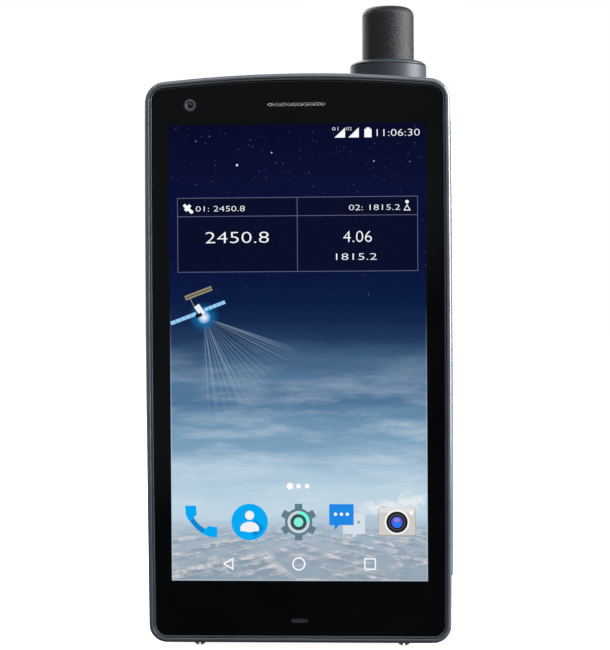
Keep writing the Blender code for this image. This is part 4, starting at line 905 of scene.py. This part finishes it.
def inkDisc(right, down, radius, colour, layer=1, sides=48, turn=0.0, squeeze=1.0):
    bpy.ops.object.select_all(action="DESELECT")
    bpy.ops.mesh.primitive_circle_add(
        vertices=sides, radius=radius * mm, fill_type="NGON", rotation=(math.pi / 2, 0, 0)
    )
    disc = bpy.context.object
    disc.scale = (1, squeeze, 1)
    settle(disc)
    return centred(inked(disc, colour, turn), onScreen(right, down, layer))


def inkBar(right, down, width, height, colour, layer=1, turn=0.0, corner=0.0):
    bar = startPlane("bar", (width * mm, height * mm), (0, 0, 0))
    if corner:
        roundCorners(bar, corner * mm, 5)
    return centred(inked(bar, colour, turn), onScreen(right, down, layer))


def hollowed(piece, width):
    # leaves only a rim of a flat shape
    startEdit(piece, "FACE")
    bpy.ops.mesh.select_all(action="SELECT")
    bpy.ops.mesh.inset(thickness=width * mm)
    deletePicked()
    endEdit()
    return piece


def keepWhere(piece, wanted):
    # keeps the faces of a flat shape whose middles are wanted
    startEdit(piece, "FACE")
    pickFaces(piece, lambda co, normal: not wanted(co))
    deletePicked()
    endEdit()


def inkWedge(right, down, width, height, colour, layer=1, drop=0):
    # a right-angled triangle: a bar with one corner drawn in
    wedge = startPlane("wedge", (width * mm, height * mm), (0, 0, 0))
    corners = sorted(wedge.data.vertices, key=lambda vert: (round(-vert.co.z, 7), round(vert.co.x, 7)))
    startEdit(wedge, "VERT")
    cage = bmesh.from_edit_mesh(wedge.data)
    cage.verts.ensure_lookup_table()
    for vert in (corners[drop], corners[(drop + 2) % 4]):
        cage.verts[vert.index].select_set(True)
    keep = corners[(drop + 2) % 4].co.copy()
    bmesh.update_edit_mesh(wedge.data)
    bpy.ops.mesh.merge(type="CENTER")
    endEdit()
    placed = min(wedge.data.vertices, key=lambda vert: (vert.co - keep).length)
    placed.co = keep
    return centred(inked(wedge, colour), onScreen(right, down, layer))


def inkDigits(text, left, right, base, height, colour):
    # thin figures on a base line, fitted between two sides
    bpy.ops.object.select_all(action="DESELECT")
    bpy.ops.object.text_add(rotation=(math.pi / 2, 0, 0))
    digits = bpy.context.object
    digits.data.body = text
    digits.data.size = height * mm / capShare
    digits.data.resolution_u = 3
    digits.data.offset = -thinning * height * mm
    bpy.ops.object.convert(target="MESH")
    settle(digits)
    low = min(vert.co.x for vert in digits.data.vertices)
    high = max(vert.co.x for vert in digits.data.vertices)
    for vert in digits.data.vertices:
        vert.co.x = (vert.co.x - low) / (high - low) * (right - left) * mm
    return centred(inked(digits, colour), onScreen(left, base))


def lightUp(name, shapes):
    # one piece from several flat shapes, given a thickness
    piece = joinAll(name, shapes)
    useModifier(piece, "SOLIDIFY", thickness=inkStep * 0.8, offset=-1.0)
    handOver(piece, "display_panel", looks["lit_ink"], stands=False)


white = (250, 250, 252)
statusRow = {"base": 3.55, "height": 2.5, "signals": (43.2, 46.65), "clock": "11:06:30"}


def statusIcons():
    base, height = statusRow["base"], statusRow["height"]
    shapes = [inkWedge(right, base - height / 2, 2.65, height, white) for right in statusRow["signals"]]
    shapes.append(inkBar(50.27, 2.5, 1.8, 2.1, white))
    shapes.append(inkBar(50.27, 1.3, 0.9, 0.4, white))
    shapes.append(inkDigits(statusRow["clock"], 52.45, 63.2, 3.3, 1.85, white))
    shapes.append(inkDigits("01", 41.3, 42.8, 1.75, 0.85, white))
    shapes.append(inkDigits("02", 44.8, 46.2, 1.75, 0.85, white))
    lightUp("status_icons", shapes)


def statusBoxes():
    rule = (96, 98, 132)
    left, right, top, bottom = (statusPanel[key] for key in ("left", "right", "top", "bottom"))
    width, height, line = right - left, bottom - top, statusPanel["line"]
    shapes = []
    for down in (top, statusPanel["row"], bottom):
        shapes.append(inkBar((left + right) / 2, down, width + line, line, rule))
    for across in (left, statusPanel["middle"], right):
        shapes.append(inkBar(across, (top + bottom) / 2, line, height, rule, 2))
    shapes += [  # a satellite mark and a mast mark
        inkBar(4.7, 20.9, 2.6, 0.75, white, turn=0.75),
        inkBar(4.75, 20.8, 0.8, 1.9, white, 2, turn=0.75),
        inkDisc(5.7, 21.8, 0.45, white, 3, 24),
        inkDisc(59.95, 19.75, 0.45, white, 2, 24),
        hollowed(inkDisc(59.95, 21.4, 1.05, white, 1, 3), 0.2),
    ]
    for figures, start, end, base, size in (
        ("01: 2450.8", 6.8, 19.2, 21.75, 1.45),
        ("02: 1815.2", 45.4, 58.2, 21.75, 1.45),
        ("2450.8", 9.2, 25.2, 29.75, 3.0),
        ("4.06", 43.9, 51.1, 29.75, 3.0),
        ("1815.2", 42.1, 52.3, 34.2, 1.75),
    ):
        shapes.append(inkDigits(figures, start, end, base, size, white))
    lightUp("status_boxes", shapes)


def satelliteMark():
    gold, cell, frameTone = (150, 140, 118), (150, 205, 245), (235, 240, 245)
    tilt = -0.36
    wings = (3.45, 48.7, 6.9, 0.95), (11.4, 45.55, 5.6, 0.9)
    shapes = [
        inkBar(7.3, 42.3, 7.2, 1.15, gold, turn=tilt),
        inkBar(7.3, 42.3, 6.9, 0.28, (70, 62, 50), 2, turn=tilt),
        inkBar(5.7, 44.7, 0.18, 2.2, (150, 150, 150), turn=-0.45),
    ]
    shapes += [inkBar(*wing, cell, turn=tilt) for wing in wings]
    shapes.append(inkBar(7.55, 46.5, 1.5, 2.7, frameTone, 3, turn=-0.62))
    shapes.append(inkBar(7.35, 47.9, 1.7, 0.9, (12, 14, 20), 4, turn=tilt))
    for share in (-0.3, -0.1, 0.1, 0.3):  # joints between the cells of each wing
        for right, down, length, _ in wings:
            place = right + share * length * math.cos(tilt), down + share * length * math.sin(tilt)
            shapes.append(inkBar(*place, 0.12, 0.95, (70, 110, 160), 2, tilt))
    lightUp("satellite_mark", shapes)


def pageDots():
    dots = (30.14, 0.85), (32.3, 0.6), (34.46, 0.6)
    lightUp("page_dots", [inkDisc(right, 91.1, radius, white) for right, radius in dots])


iconRow = 100.2


def inkQuad(corners, colour):
    # four corners, the lower pair first, each pair from the left
    quad = startPlane("quad", (mm, mm), (0, 0, 0))
    order = sorted(quad.data.vertices, key=lambda vert: (round(vert.co.z, 7), round(vert.co.x, 7)))
    for vert, corner in zip(order, corners):
        vert.co = onScreen(*corner, 2)
    roundCorners(quad, 0.12 * mm, 3)
    return inked(quad, colour)


def callIcon():
    blue, shade = (0, 168, 245), (2, 136, 209)
    arch = hollowed(inkDisc(12.25, 95.35, 8.85, shade, sides=128), 1.3)
    middle = onScreen(12.25, 95.35)
    keepWhere(arch, lambda co: co.x < middle.x - 2.6 * mm and co.z < middle.z - 2.6 * mm)
    shapes = [arch]
    for corners in (
        ((3.65, 98.5), (6.45, 98.4), (3.5, 96.05), (6.25, 96.05)),  # ear
        ((4.35, 99.8), (5.35, 99.6), (3.6, 98.1), (6.47, 98.1)),
        ((9.15, 103.75), (11.6, 104.2), (9.25, 101.2), (11.7, 101.5)),  # mouth
        ((7.8, 103.15), (9.5, 103.95), (8.2, 102.3), (9.5, 101.2)),
    ):
        shapes.append(inkQuad(corners, blue))
    lightUp("call_icon", shapes)


def contactsIcon():
    centre, pale = 19.86, (240, 240, 240)
    shapes = [
        inkDisc(centre, iconRow, 4.62, (3, 169, 244), 1, 64),
        inkBar(21.3, iconRow + 1.6, 3.2, 3.2, (2, 140, 215), 2, turn=math.pi / 4),
        inkDisc(centre, iconRow - 1.7, 1.15, pale, 3, 32),
        inkBar(centre, iconRow + 1.65, 4.7, 1.35, pale, 3, corner=0.3),
        inkDisc(centre, iconRow + 1.25, 2.2, pale, 4, 32, 0, 0.6),
    ]
    lightUp("contacts_icon", shapes)


def settingsIcon():
    centre, grey, out = 32.26, (96, 125, 139), 3.75
    shapes = [inkDisc(centre, iconRow, 3.45, grey, 1, 64)]
    for i in range(6):
        turn = i * math.pi / 3
        place = centre + out * math.sin(turn), iconRow - out * math.cos(turn)
        shapes.append(inkBar(*place, 1.9, 1.75, grey, 2, turn, 0.2))
    shapes.append(hollowed(inkDisc(centre, iconRow, 2.8, (206, 216, 220), 3, 64), 0.7))
    arch = hollowed(inkDisc(centre, iconRow, 2.75, (100, 255, 218), 4, 64), 0.75)
    middle = onScreen(centre, iconRow)
    keepWhere(arch, lambda co: not (co.x < middle.x or co.z < middle.z))
    shapes.append(arch)
    shapes.append(inkDisc(centre, iconRow, 2.0, (62, 80, 90), 5, 48))
    shapes.append(inkDisc(centre, iconRow, 1.2, (130, 240, 220), 6, 40))
    lightUp("settings_icon", shapes)


def messagesIcon():
    blue, pale = (30, 136, 229), (214, 223, 232)
    shapes = [
        inkBar(46.2, 100.6, 5.6, 5.2, pale, 1, corner=0.1),
        inkWedge(46.6, 103.6, 1.4, 1.4, pale, 1, drop=3),
        inkDisc(47.4, iconRow, 0.4, (150, 165, 178), 2, 20),
        inkBar(43.08, 98.3, 6.15, 5.3, blue, 3, corner=0.12),
        inkWedge(42.1, 101.4, 1.6, 1.6, blue, 3, drop=3),
    ]
    shapes += [inkDisc(43.08 + 1.5 * i, 98.2, 0.42, white, 4, 20) for i in (-1, 0, 1)]
    lightUp("messages_icon", shapes)


def cameraIcon():
    centre = 57.05
    shapes = [
        inkBar(centre - 3.4, 96.6, 1.5, 0.7, (190, 187, 185), 1, corner=0.1),
        inkBar(centre, 100.2, 9.4, 7.3, (168, 165, 164), 1, corner=0.4),
        inkBar(centre, 100.0, 9.1, 6.9, (206, 203, 201), 2, corner=0.35),
        inkBar(centre, 97.2, 9.1, 1.2, (226, 224, 222), 3, corner=0.3),
        inkDisc(centre + 3.6, 97.9, 0.5, (250, 250, 250), 4, 24),
    ]
    for radius, colour, layer in (
        (3.1, (250, 250, 250), 4), (2.7, (34, 35, 37), 5), (2.0, (84, 86, 90), 6),
        (1.8, (14, 15, 22), 7), (1.45, (84, 88, 214), 8),
    ):
        shapes.append(inkDisc(centre, iconRow, radius, colour, layer, 56))
    shapes.append(inkDisc(centre, iconRow + 0.5, 0.95, (40, 120, 240), 9, 40))
    shapes.append(inkDisc(centre, iconRow - 0.55, 0.8, (142, 132, 222), 10, 40, 0, 0.6))
    lightUp("camera_icon", shapes)


def softKeys():
    down = 110.8
    back = hollowed(inkDisc(14.75, down, 1.85, white, 1, 3, -math.pi / 2), 0.34)
    home = hollowed(inkDisc(32.25, down, 1.68, white, 1, 56), 0.36)
    recent = hollowed(inkBar(50.24, down, 3.0, 3.0, white, 1, corner=0.25), 0.34)
    lightUp("soft_keys", [back, home, recent])


for draw in (
    statusIcons, statusBoxes, satelliteMark, pageDots, callIcon, contactsIcon, settingsIcon, messagesIcon,
    cameraIcon, softKeys,
):
    draw()
print("screen shapes lit")


# earpiece, microphone and front camera

earpiece = {"waves": 19, "wire": 0.05 * mm, "swing": 0.44 * mm, "backing": 0.25 * mm}


def earpieceMesh():
    # two zigzag wires that cross into a row of diamonds, in front of a dark strip
    low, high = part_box("earpiece_mesh")
    middle = (low + high) / 2
    wire = earpiece["wire"]
    pieces = []
    for sign in (1, -1):
        bpy.ops.object.select_all(action="DESELECT")
        bpy.ops.curve.primitive_nurbs_path_add()
        path = bpy.context.object
        path.data.splines.clear()
        spline = path.data.splines.new("POLY")
        count = earpiece["waves"] + 1
        spline.points.add(count - 1)
        for i, point in enumerate(spline.points):
            x = low.x + wire + (high.x - low.x - 2 * wire) * i / (count - 1)
            atEnd = i in (0, count - 1)  # the ends run into the round of the slot
            swing = 0.0 if atEnd else sign * (-1) ** i * earpiece["swing"]
            point.co = (x, low.y + 2 * wire, middle.z + swing, 1)
        path.data.bevel_depth = wire
        path.data.bevel_resolution = 2
        path.data.use_fill_caps = True
        bpy.ops.object.convert(target="MESH")
        settle(path)
        pieces.append(path)
    handOver(smoothed(joinAll("earpiece_wires", pieces), 60), "earpiece_mesh", looks["silver_mesh"])
    strip = pillBlock(
        "earpiece_backing",
        (low.x, high.y - earpiece["backing"], low.z),
        (high.x, high.y, high.z),
        "Y",
        (high.z - low.z) * 0.45,
    )
    handOver(smoothed(strip), "earpiece_mesh", looks["rubber"], stands=False)


microphone = {"hole": 0.12 * mm, "deep": 0.3 * mm, "pitch": 0.5 * mm, "rowGap": 0.24 * mm}


def microphoneBoot():
    low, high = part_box("microphone_boot")
    boot = pillBlock("microphone_mesh", low, high, "Y", (high.z - low.z) * 0.42)
    holes = []
    for row in (-1, 1):
        for i in range(-3, 4):
            place = (i * microphone["pitch"], 0, (low.z + high.z) / 2 + row * microphone["rowGap"])
            span = low.y - mm, low.y + microphone["deep"]
            holes.append(startDrum("hole", microphone["hole"], *span, place, "Y", 12))
    cutWith(boot, joinAll("holes", holes))
    roundWhere(boot, lambda co: co.y < low.y + hair and abs(co.x) > 1.8 * mm, 0.08 * mm, 2)
    handOver(smoothed(boot), "microphone_boot", looks["lip"])


frontLens = {"funnel": ((0.6, 0.0), (0.2, -0.3)), "share": 0.46, "sunk": 0.2 * mm, "round": 0.3 * mm}


def frontCamera():
    low, high, radius, centre = roundBox("front_camera_ring", "Y")
    face = glassLow.y
    ring = startDrum("front_camera_trim", radius - 0.02 * mm, face, high.y, centre, "Y", 64)
    startEdit(ring, "FACE")
    pickEnd(ring, "Y", -1)
    insetPicked(*frontLens["funnel"])
    endEdit()
    roundWhere(ring, lambda co: co.y < face + hair, 0.05 * mm, 2)
    handOver(smoothed(ring), "front_camera_ring", looks["lip"])
    near, far = face + frontLens["sunk"], high.y - frontLens["sunk"]
    lens = startDrum("front_camera_lens", radius * frontLens["share"], near, far, centre, "Y", 48)
    roundWhere(lens, lambda co: co.y < near + hair, frontLens["round"], 6)
    handOver(smoothed(lens), "front_camera_module", looks["clear_lens"], stands=False)


earpieceMesh()
microphoneBoot()
frontCamera()
print("earpiece, microphone and front camera modelled")


# antenna: grained cap, smooth collar and the ring between them

antenna = {
    "capRound": 2.2 * mm,
    "domeRise": 0.35 * mm,
    "domeSteps": ((1.4 * mm, 0.55), (1.5 * mm, 0.35), (1.0 * mm, 0.10)),  # width, share of the rise
    "domeShare": 0.75,
    "capWall": 0.9 * mm,
    "spigotWall": 0.8 * mm,
    "boreGap": 0.2 * mm,
    "skirt": 3 * mm,
    "ringChamfer": 1.0 * mm,
    "ringLand": 0.3 * mm,
    "ringInset": 0.1 * mm,
}


def antennaCap():
    low, high, radius, centre = roundBox("antenna_radome", "Z")
    flat = high.z - antenna["domeRise"]
    cap = startDrum("antenna_cap", radius, low.z, flat, centre, "Z", 128)
    roundWhere(cap, lambda co: co.z > flat - hair, antenna["capRound"], 10)
    startEdit(cap, "FACE")
    pickFaces(cap, lambda co, normal: normal.z > 0.9 and co.z > flat - hair)
    rise = antenna["domeRise"] * antenna["domeShare"]
    for width, share in antenna["domeSteps"]:
        bpy.ops.mesh.inset(thickness=width, depth=rise * share)
    pickEnd(cap, "Z", -1)
    bpy.ops.mesh.inset(thickness=antenna["capWall"])
    extrudePicked((0, 0, flat - low.z - antenna["capRound"]))
    endEdit()
    handOver(smoothed(cap, 40), "antenna_radome", looks["radome"])


def antennaCollar():
    low, high, radius, centre = roundBox("antenna_collar", "Z")
    bore = roundBox("antenna_radome", "Z")[2] + antenna["boreGap"]
    spigot = bore + antenna["spigotWall"]
    skirt = bumperHigh.z - antenna["skirt"]
    collar = startDrum("antenna_collar_turned", radius, skirt, high.z, centre, "Z", 128)
    startEdit(collar, "FACE")
    pickEnd(collar, "Z", -1)
    bpy.ops.mesh.inset(thickness=radius - spigot)
    extrudePicked((0, 0, low.z - skirt))
    bpy.ops.mesh.inset(thickness=spigot - bore)
    deletePicked()
    pickEnd(collar, "Z", 1)
    bpy.ops.mesh.inset(thickness=radius - bore)
    deletePicked()
    wallBore(collar)
    endEdit()
    for vert in collar.data.vertices:  # the skirt sits on the arched top of the body
        if abs(vert.co.z - skirt) < hair:
            vert.co.z = bumperHigh.z - crownDrop(vert.co.x) + 0.03 * mm
    roundWhere(collar, lambda co: co.z > high.z - hair, 0.12 * mm, 3)
    handOver(smoothed(collar, 40), "antenna_collar", looks["collar"])
    collarRing(radius - antenna["ringInset"], bore, centre)


def collarRing(radius, bore, centre):
    low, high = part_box("collar_ring")
    land = antenna["ringLand"]
    ring = startDrum("antenna_collar_ring", radius, low.z, low.z + land, centre, "Z", 128)
    startEdit(ring, "FACE")
    pickEnd(ring, "Z", 1)
    bpy.ops.mesh.inset(thickness=antenna["ringChamfer"], depth=high.z - low.z - land)
    bpy.ops.mesh.inset(thickness=radius - antenna["ringChamfer"] - bore)
    deletePicked()
    pickEnd(ring, "Z", -1)
    bpy.ops.mesh.inset(thickness=radius - bore)
    deletePicked()
    wallBore(ring)
    endEdit()
    outer = radius - antenna["ringChamfer"] - 0.2 * mm
    above = low.z + 0.1 * mm
    roundWhere(ring, lambda co: (co.xy - centre.xy).length > outer and co.z > above, 0.3 * mm, 4, 0.3)
    handOver(smoothed(ring, 40), "collar_ring", looks["collar"])


antennaCap()
antennaCollar()
print("antenna modelled")


# side rails with the keys that come through them

rail = {"proud": 0.7 * mm, "inner": 1.1 * mm, "cuts": 15, "edge": 0.45 * mm, "keyGap": 0.08 * mm}
keys = {
    "flange": 0.5 * mm,
    "plate": 0.62 * mm,
    "edge": 0.32 * mm,
    "groove": ((0.55 * mm, -0.12 * mm), (0.35 * mm, 0.10 * mm)),  # width, depth
    "inlayEdge": 0.92 * mm,
}
keyNodes = ("volume_up_key", "volume_down_key", "power_key", "sos_key", "camera_key")


def keyPill(name, box, span, inset, slack, steps=8):
    # a round-ended block across a key's box, set in all round
    low, high = box
    near, far = sorted(span)
    return pillBlock(
        name,
        (near, low.y + inset, low.z + inset),
        (far, high.y - inset, high.z - inset),
        "X",
        (high.y - low.y) / 2 - inset - slack,
        steps,
    )


def sideRail(node, side):
    low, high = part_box(node)
    strip = startBlock(node + "_strip", (-0.5, low.y, low.z), (0.5, high.y, high.z))
    startEdit(strip)
    pickEdges(strip, lambda edge: abs(edge.verts[0].co.z - edge.verts[1].co.z) > 50 * mm)
    bpy.ops.mesh.subdivide(number_cuts=rail["cuts"])
    endEdit()
    for vert in strip.data.vertices:
        reach = rail["proud"] if vert.co.x * side > 0 else -rail["inner"]
        vert.co.x = side * (bodyHalf - sideDrop(vert.co.z) + reach)
    startEdit(strip)
    faceOutward()
    endEdit()
    roundWhere(strip, lambda co: abs(co.x) > bodyHalf, rail["edge"], 5, 0.6)
    span = side * (bodyHalf - 3 * mm), side * (bodyHalf + 3 * mm)
    windows = []
    for key in keyNodes:
        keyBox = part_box(key)
        if (keyBox[0].x + keyBox[1].x) * side > 0:
            windows.append(keyPill(key + "_window", keyBox, span, keys["flange"] - rail["keyGap"], 0.02 * mm))
    cutWith(strip, *windows)
    handOver(smoothed(strip, 30), node, looks["satin_rail"])


def sideKey(node):
    keyBox = low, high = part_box(node)
    side = 1 if low.x + high.x > 0 else -1
    back, face = sorted((abs(low.x), abs(high.x)))
    span = side * face, side * (back + 0.3 * mm)
    head = keyPill(node + "_cap", keyBox, span, keys["flange"], 0.03 * mm, 10)
    roundWhere(head, lambda co: abs(co.x) > face - hair, keys["edge"], 5)
    startEdit(head, "FACE")  # a sunk groove round a raised middle, to find the key by touch
    bpy.ops.mesh.select_all(action="SELECT")
    bpy.ops.mesh.remove_doubles(threshold=0.05 * mm)
    pickFaces(head, lambda co, normal: normal.x * side > 0.95)
    for width, depth in keys["groove"]:
        bpy.ops.mesh.inset(thickness=width, depth=depth, use_even_offset=False)
    endEdit()
    span = side * back, side * (back + keys["plate"])
    cutWith(head, keyPill(node + "_plate", keyBox, span, 0, 0.05 * mm), operation="UNION")
    handOver(smoothed(head), node, looks["key"])
    if node == "sos_key":  # its raised middle is orange
        span = side * (face - 0.1 * mm), side * (face - 0.004 * mm)
        inlay = keyPill("sos_key_inlay", keyBox, span, keys["flange"] + keys["inlayEdge"], 0.03 * mm, 10)
        handOver(smoothed(inlay), node, looks["sos_key"], stands=False)


sideRail("side_rail_left", -1)
sideRail("side_rail_right", 1)
for keyNode in keyNodes:
    sideKey(keyNode)
print("rails and keys modelled")


# cover screws under the bottom face, domed and slotted

screw = {
    "domeSteps": ((0.12, 0.42), (0.36, 0.42), (0.46, 0.21)),  # width, share of the dome's 1.05
    "domeDepth": 1.05 * mm,
    "land": 0.75 * mm,
    "headGap": 0.2 * mm,
    "shank": 0.8 * mm,
    "slot": 0.6 * mm,
    "slotDepth": 0.8 * mm,
}


def coverScrew(node):
    low, high, radius, centre = roundBox(node, "Z")
    headHigh = bumperLow.z - screw["headGap"]
    rim = headHigh - screw["land"]
    head = startDrum(node + "_turned", radius, rim, headHigh, centre, "Z", 64)
    startEdit(head, "FACE")
    pickEnd(head, "Z", -1)
    for inward, down in screw["domeSteps"]:
        bpy.ops.mesh.inset(thickness=inward * mm, depth=down * mm * (rim - low.z) / screw["domeDepth"])
    pickEnd(head, "Z", 1)
    bpy.ops.mesh.inset(thickness=radius - screw["shank"])
    extrudePicked((0, 0, high.z - headHigh))
    endEdit()
    half = screw["slot"] / 2
    slotLow = (centre.x - half, centre.y - 3 * mm, low.z - mm)
    slotHigh = (centre.x + half, centre.y + 3 * mm, low.z + screw["slotDepth"])
    cutWith(head, startBlock("slot", slotLow, slotHigh))
    handOver(smoothed(head, 30), node, looks["steel"])


coverScrew("cover_screw_left")
coverScrew("cover_screw_right")


# shells and covers that keep the shape of their nodes, with their edges eased

def eased(node, name, width):
    piece = bpy.data.objects.new(name, nodes[node].data.copy())
    bpy.context.scene.collection.objects.link(piece)
    startEdit(piece, "VERT")
    bpy.ops.mesh.select_all(action="SELECT")
    bpy.ops.mesh.remove_doubles(threshold=0.002 * mm)
    bpy.ops.mesh.customdata_custom_splitnormals_clear()
    bpy.ops.mesh.dissolve_limited(angle_limit=math.radians(0.3))
    endEdit()
    useModifier(
        piece, "BEVEL", width=width, segments=2, limit_method="ANGLE",
        angle_limit=math.radians(40), use_clamp_overlap=True, harden_normals=False,
    )
    handOver(smoothed(piece, 28), node, looks[slotOf[node]])


eased("rear_housing", "rear_housing_shell", 0.18 * mm)
eased("battery_cover", "battery_cover_shell", 0.15 * mm)
eased("usb_flap", "usb_flap_moulding", 0.15 * mm)
eased("jack_flap", "jack_flap_moulding", 0.15 * mm)
eased("speaker_grille", "speaker_grille_plate", 0.08 * mm)
print("housing, door and flaps eased")


# rear camera and flash

rearCamera = {
    "bezelRound": 0.4 * mm,
    "rings": ((0.5, -0.25), (0.12, 0.0), (0.7, -0.45), (0.8, 0.25), (0.9, 0.12)),  # width, depth
    "flashEdge": 0.35,
    "flashSteps": ((0.06, -0.12), (0.36, 0.10)) * 4,
}


def rearCameraParts():
    low, high, radius, centre = roundBox("rear_camera_bezel", "Y")
    windowLow, windowHigh, sight, _ = roundBox("rear_camera_window", "Y")
    bezel = startDrum("camera_bezel_turned", radius, low.y, high.y, centre, "Y", 96)
    cutWith(bezel, startDrum("bore", sight + 0.1 * mm, low.y - mm, high.y + mm, centre, "Y", 96))
    roundWhere(bezel, lambda co: co.y > high.y - hair, rearCamera["bezelRound"], 5)
    handOver(smoothed(bezel), "rear_camera_bezel", looks["steel"])

    window = startDrum("camera_window_ground", sight, windowLow.y, windowHigh.y, centre, "Y", 96)
    startEdit(window, "FACE")
    pickEnd(window, "Y", 1)
    insetPicked(*rearCamera["rings"])  # stepped rings round the lens
    endEdit()
    handOver(smoothed(window, 40), "rear_camera_window", looks["clear_lens"])

    low, high, radius, centre = roundBox("flash_window", "Y")
    flash = startDrum("flash_lens_moulded", radius, low.y, high.y, centre, "Y", 64)
    startEdit(flash, "FACE")
    pickEnd(flash, "Y", 1)
    insetPicked((rearCamera["flashEdge"], 0), *rearCamera["flashSteps"])
    endEdit()
    handOver(smoothed(flash, 25), "flash_window", looks["flash_diffuser"])


rearCameraParts()
print("rear camera and flash modelled")

for node, cadPiece in nodes.items():
    cadPiece.data.materials.clear()
    cadPiece.data.materials.append(looks.get(slotOf[node]) or looks["housing"])
nodes["display_panel"].data.materials[0] = looks["cover_glass"]


# studio: pale floor, white surround, soft boxes at the right, above and at the left

studio = {
    "floorSize": 8.0,
    "floorTone": (0.92, 0.92, 0.92),
    "floorGlow": 0.95,
    "surround": (1.0, 1.0, 1.0),
    "backdrop": 1.0,
    "boxes": (  # name, place, width and height, power
        ("right box", (0.62, -0.06, 0.28), (0.42, 0.6), 16.0),
        ("front box", (0.0, -0.75, 0.95), (1.6, 1.0), 13.0),
        ("left box", (-0.65, -0.20, 0.25), (0.35, 0.6), 0.6),
        ("back box", (-0.3, 0.6, 0.5), (0.6, 0.6), 5.0),
    ),
}


def pointAt(thing, place, target):
    thing.location = place
    thing.rotation_euler = (Vector(target) - Vector(place)).to_track_quat("-Z", "Y").to_euler()


def lightStudio():
    bpy.ops.object.select_all(action="DESELECT")
    bpy.ops.mesh.primitive_plane_add(size=studio["floorSize"], location=(0, 0, 0))
    floor = bpy.context.object
    floor.name = "floor"
    made, tree, shader = newMaterial("pale_floor", Roughness=0.9)
    shader.inputs["Base Color"].default_value = (*studio["floorTone"], 1)
    shader.inputs["Emission Color"].default_value = (1, 1, 1, 1)
    shader.inputs["Emission Strength"].default_value = studio["floorGlow"]
    floor.data.materials.append(made)
    floor.visible_glossy = False  # it is white to look at, and the glass above it stays black
    floor.visible_diffuse = False
    for name, place, size, power in studio["boxes"]:
        lamp = bpy.data.lights.new(name, "AREA")
        lamp.shape = "RECTANGLE"
        lamp.size, lamp.size_y = size
        lamp.energy = power
        holder = bpy.data.objects.new(name, lamp)
        bpy.context.scene.collection.objects.link(holder)
        pointAt(holder, place, (0, 0, 0.08))


def paintSurround():
    # white to look at, but what it casts is dim in front, so that the glass stays dark
    world = bpy.data.worlds.new("surround")
    bpy.context.scene.world = world
    world.use_nodes = True
    tree = world.node_tree
    tree.nodes.clear()
    way = addNode(tree, "ShaderNodeTexCoord").outputs["Generated"]
    part = addNode(tree, "ShaderNodeSeparateXYZ", {"Vector": way})
    slope = addNode(
        tree, "ShaderNodeVectorMath", {0: way, 1: (-0.806, 0.006, 1.0)}, operation="DOT_PRODUCT"
    ).outputs["Value"]
    ahead = spread(tree, slope, -0.02, 0.02, 0.015, 0.10)
    behind = spread(tree, part.outputs["Y"], -0.2, 0.6, 0.0, 0.22)
    level = calc(tree, "ADD", ahead, behind)
    cast = addNode(tree, "ShaderNodeBackground", {"Color": (0.92, 0.97, 1.0, 1), "Strength": level})
    seen = addNode(
        tree, "ShaderNodeBackground", {"Color": (*studio["surround"], 1), "Strength": studio["backdrop"]}
    )
    direct = addNode(tree, "ShaderNodeLightPath").outputs["Is Camera Ray"]
    both = addNode(tree, "ShaderNodeMixShader", {0: direct, 1: cast.outputs[0], 2: seen.outputs[0]})
    output = addNode(tree, "ShaderNodeOutputWorld")
    tree.links.new(both.outputs[0], output.inputs["Surface"])


# camera, a little to the right and above, almost square on

view = {
    "target": (0, -0.0117, 0.07644),
    "distance": 0.45,
    "yaw": 3.33,
    "pitch": 1.48,
    "roll": -0.36,
    "lens": 66.0,
    "shift": (0.0108, 0.0369),
}


def placeCamera():
    camera = bpy.data.cameras.new("camera")
    camera.sensor_fit = "VERTICAL"
    camera.sensor_height = 24
    camera.lens = view["lens"]
    camera.shift_x, camera.shift_y = view["shift"]
    camera.clip_start = 0.01
    holder = bpy.data.objects.new("camera", camera)
    bpy.context.scene.collection.objects.link(holder)
    yaw, pitch = math.radians(view["yaw"]), math.radians(view["pitch"])
    away = Vector((math.sin(yaw) * math.cos(pitch), -math.cos(yaw) * math.cos(pitch), math.sin(pitch)))
    aim = (-away).to_track_quat("-Z", "Y").to_matrix().to_4x4()
    roll = Matrix.Rotation(math.radians(view["roll"]), 4, "Z")
    holder.matrix_world = Matrix.Translation(Vector(view["target"]) + away * view["distance"]) @ aim @ roll
    bpy.context.scene.camera = holder


lightStudio()
paintSurround()
placeCamera()
bpy.context.scene.view_settings.view_transform = "Standard"
print("studio and camera set")

bpy.context.view_layer.update()
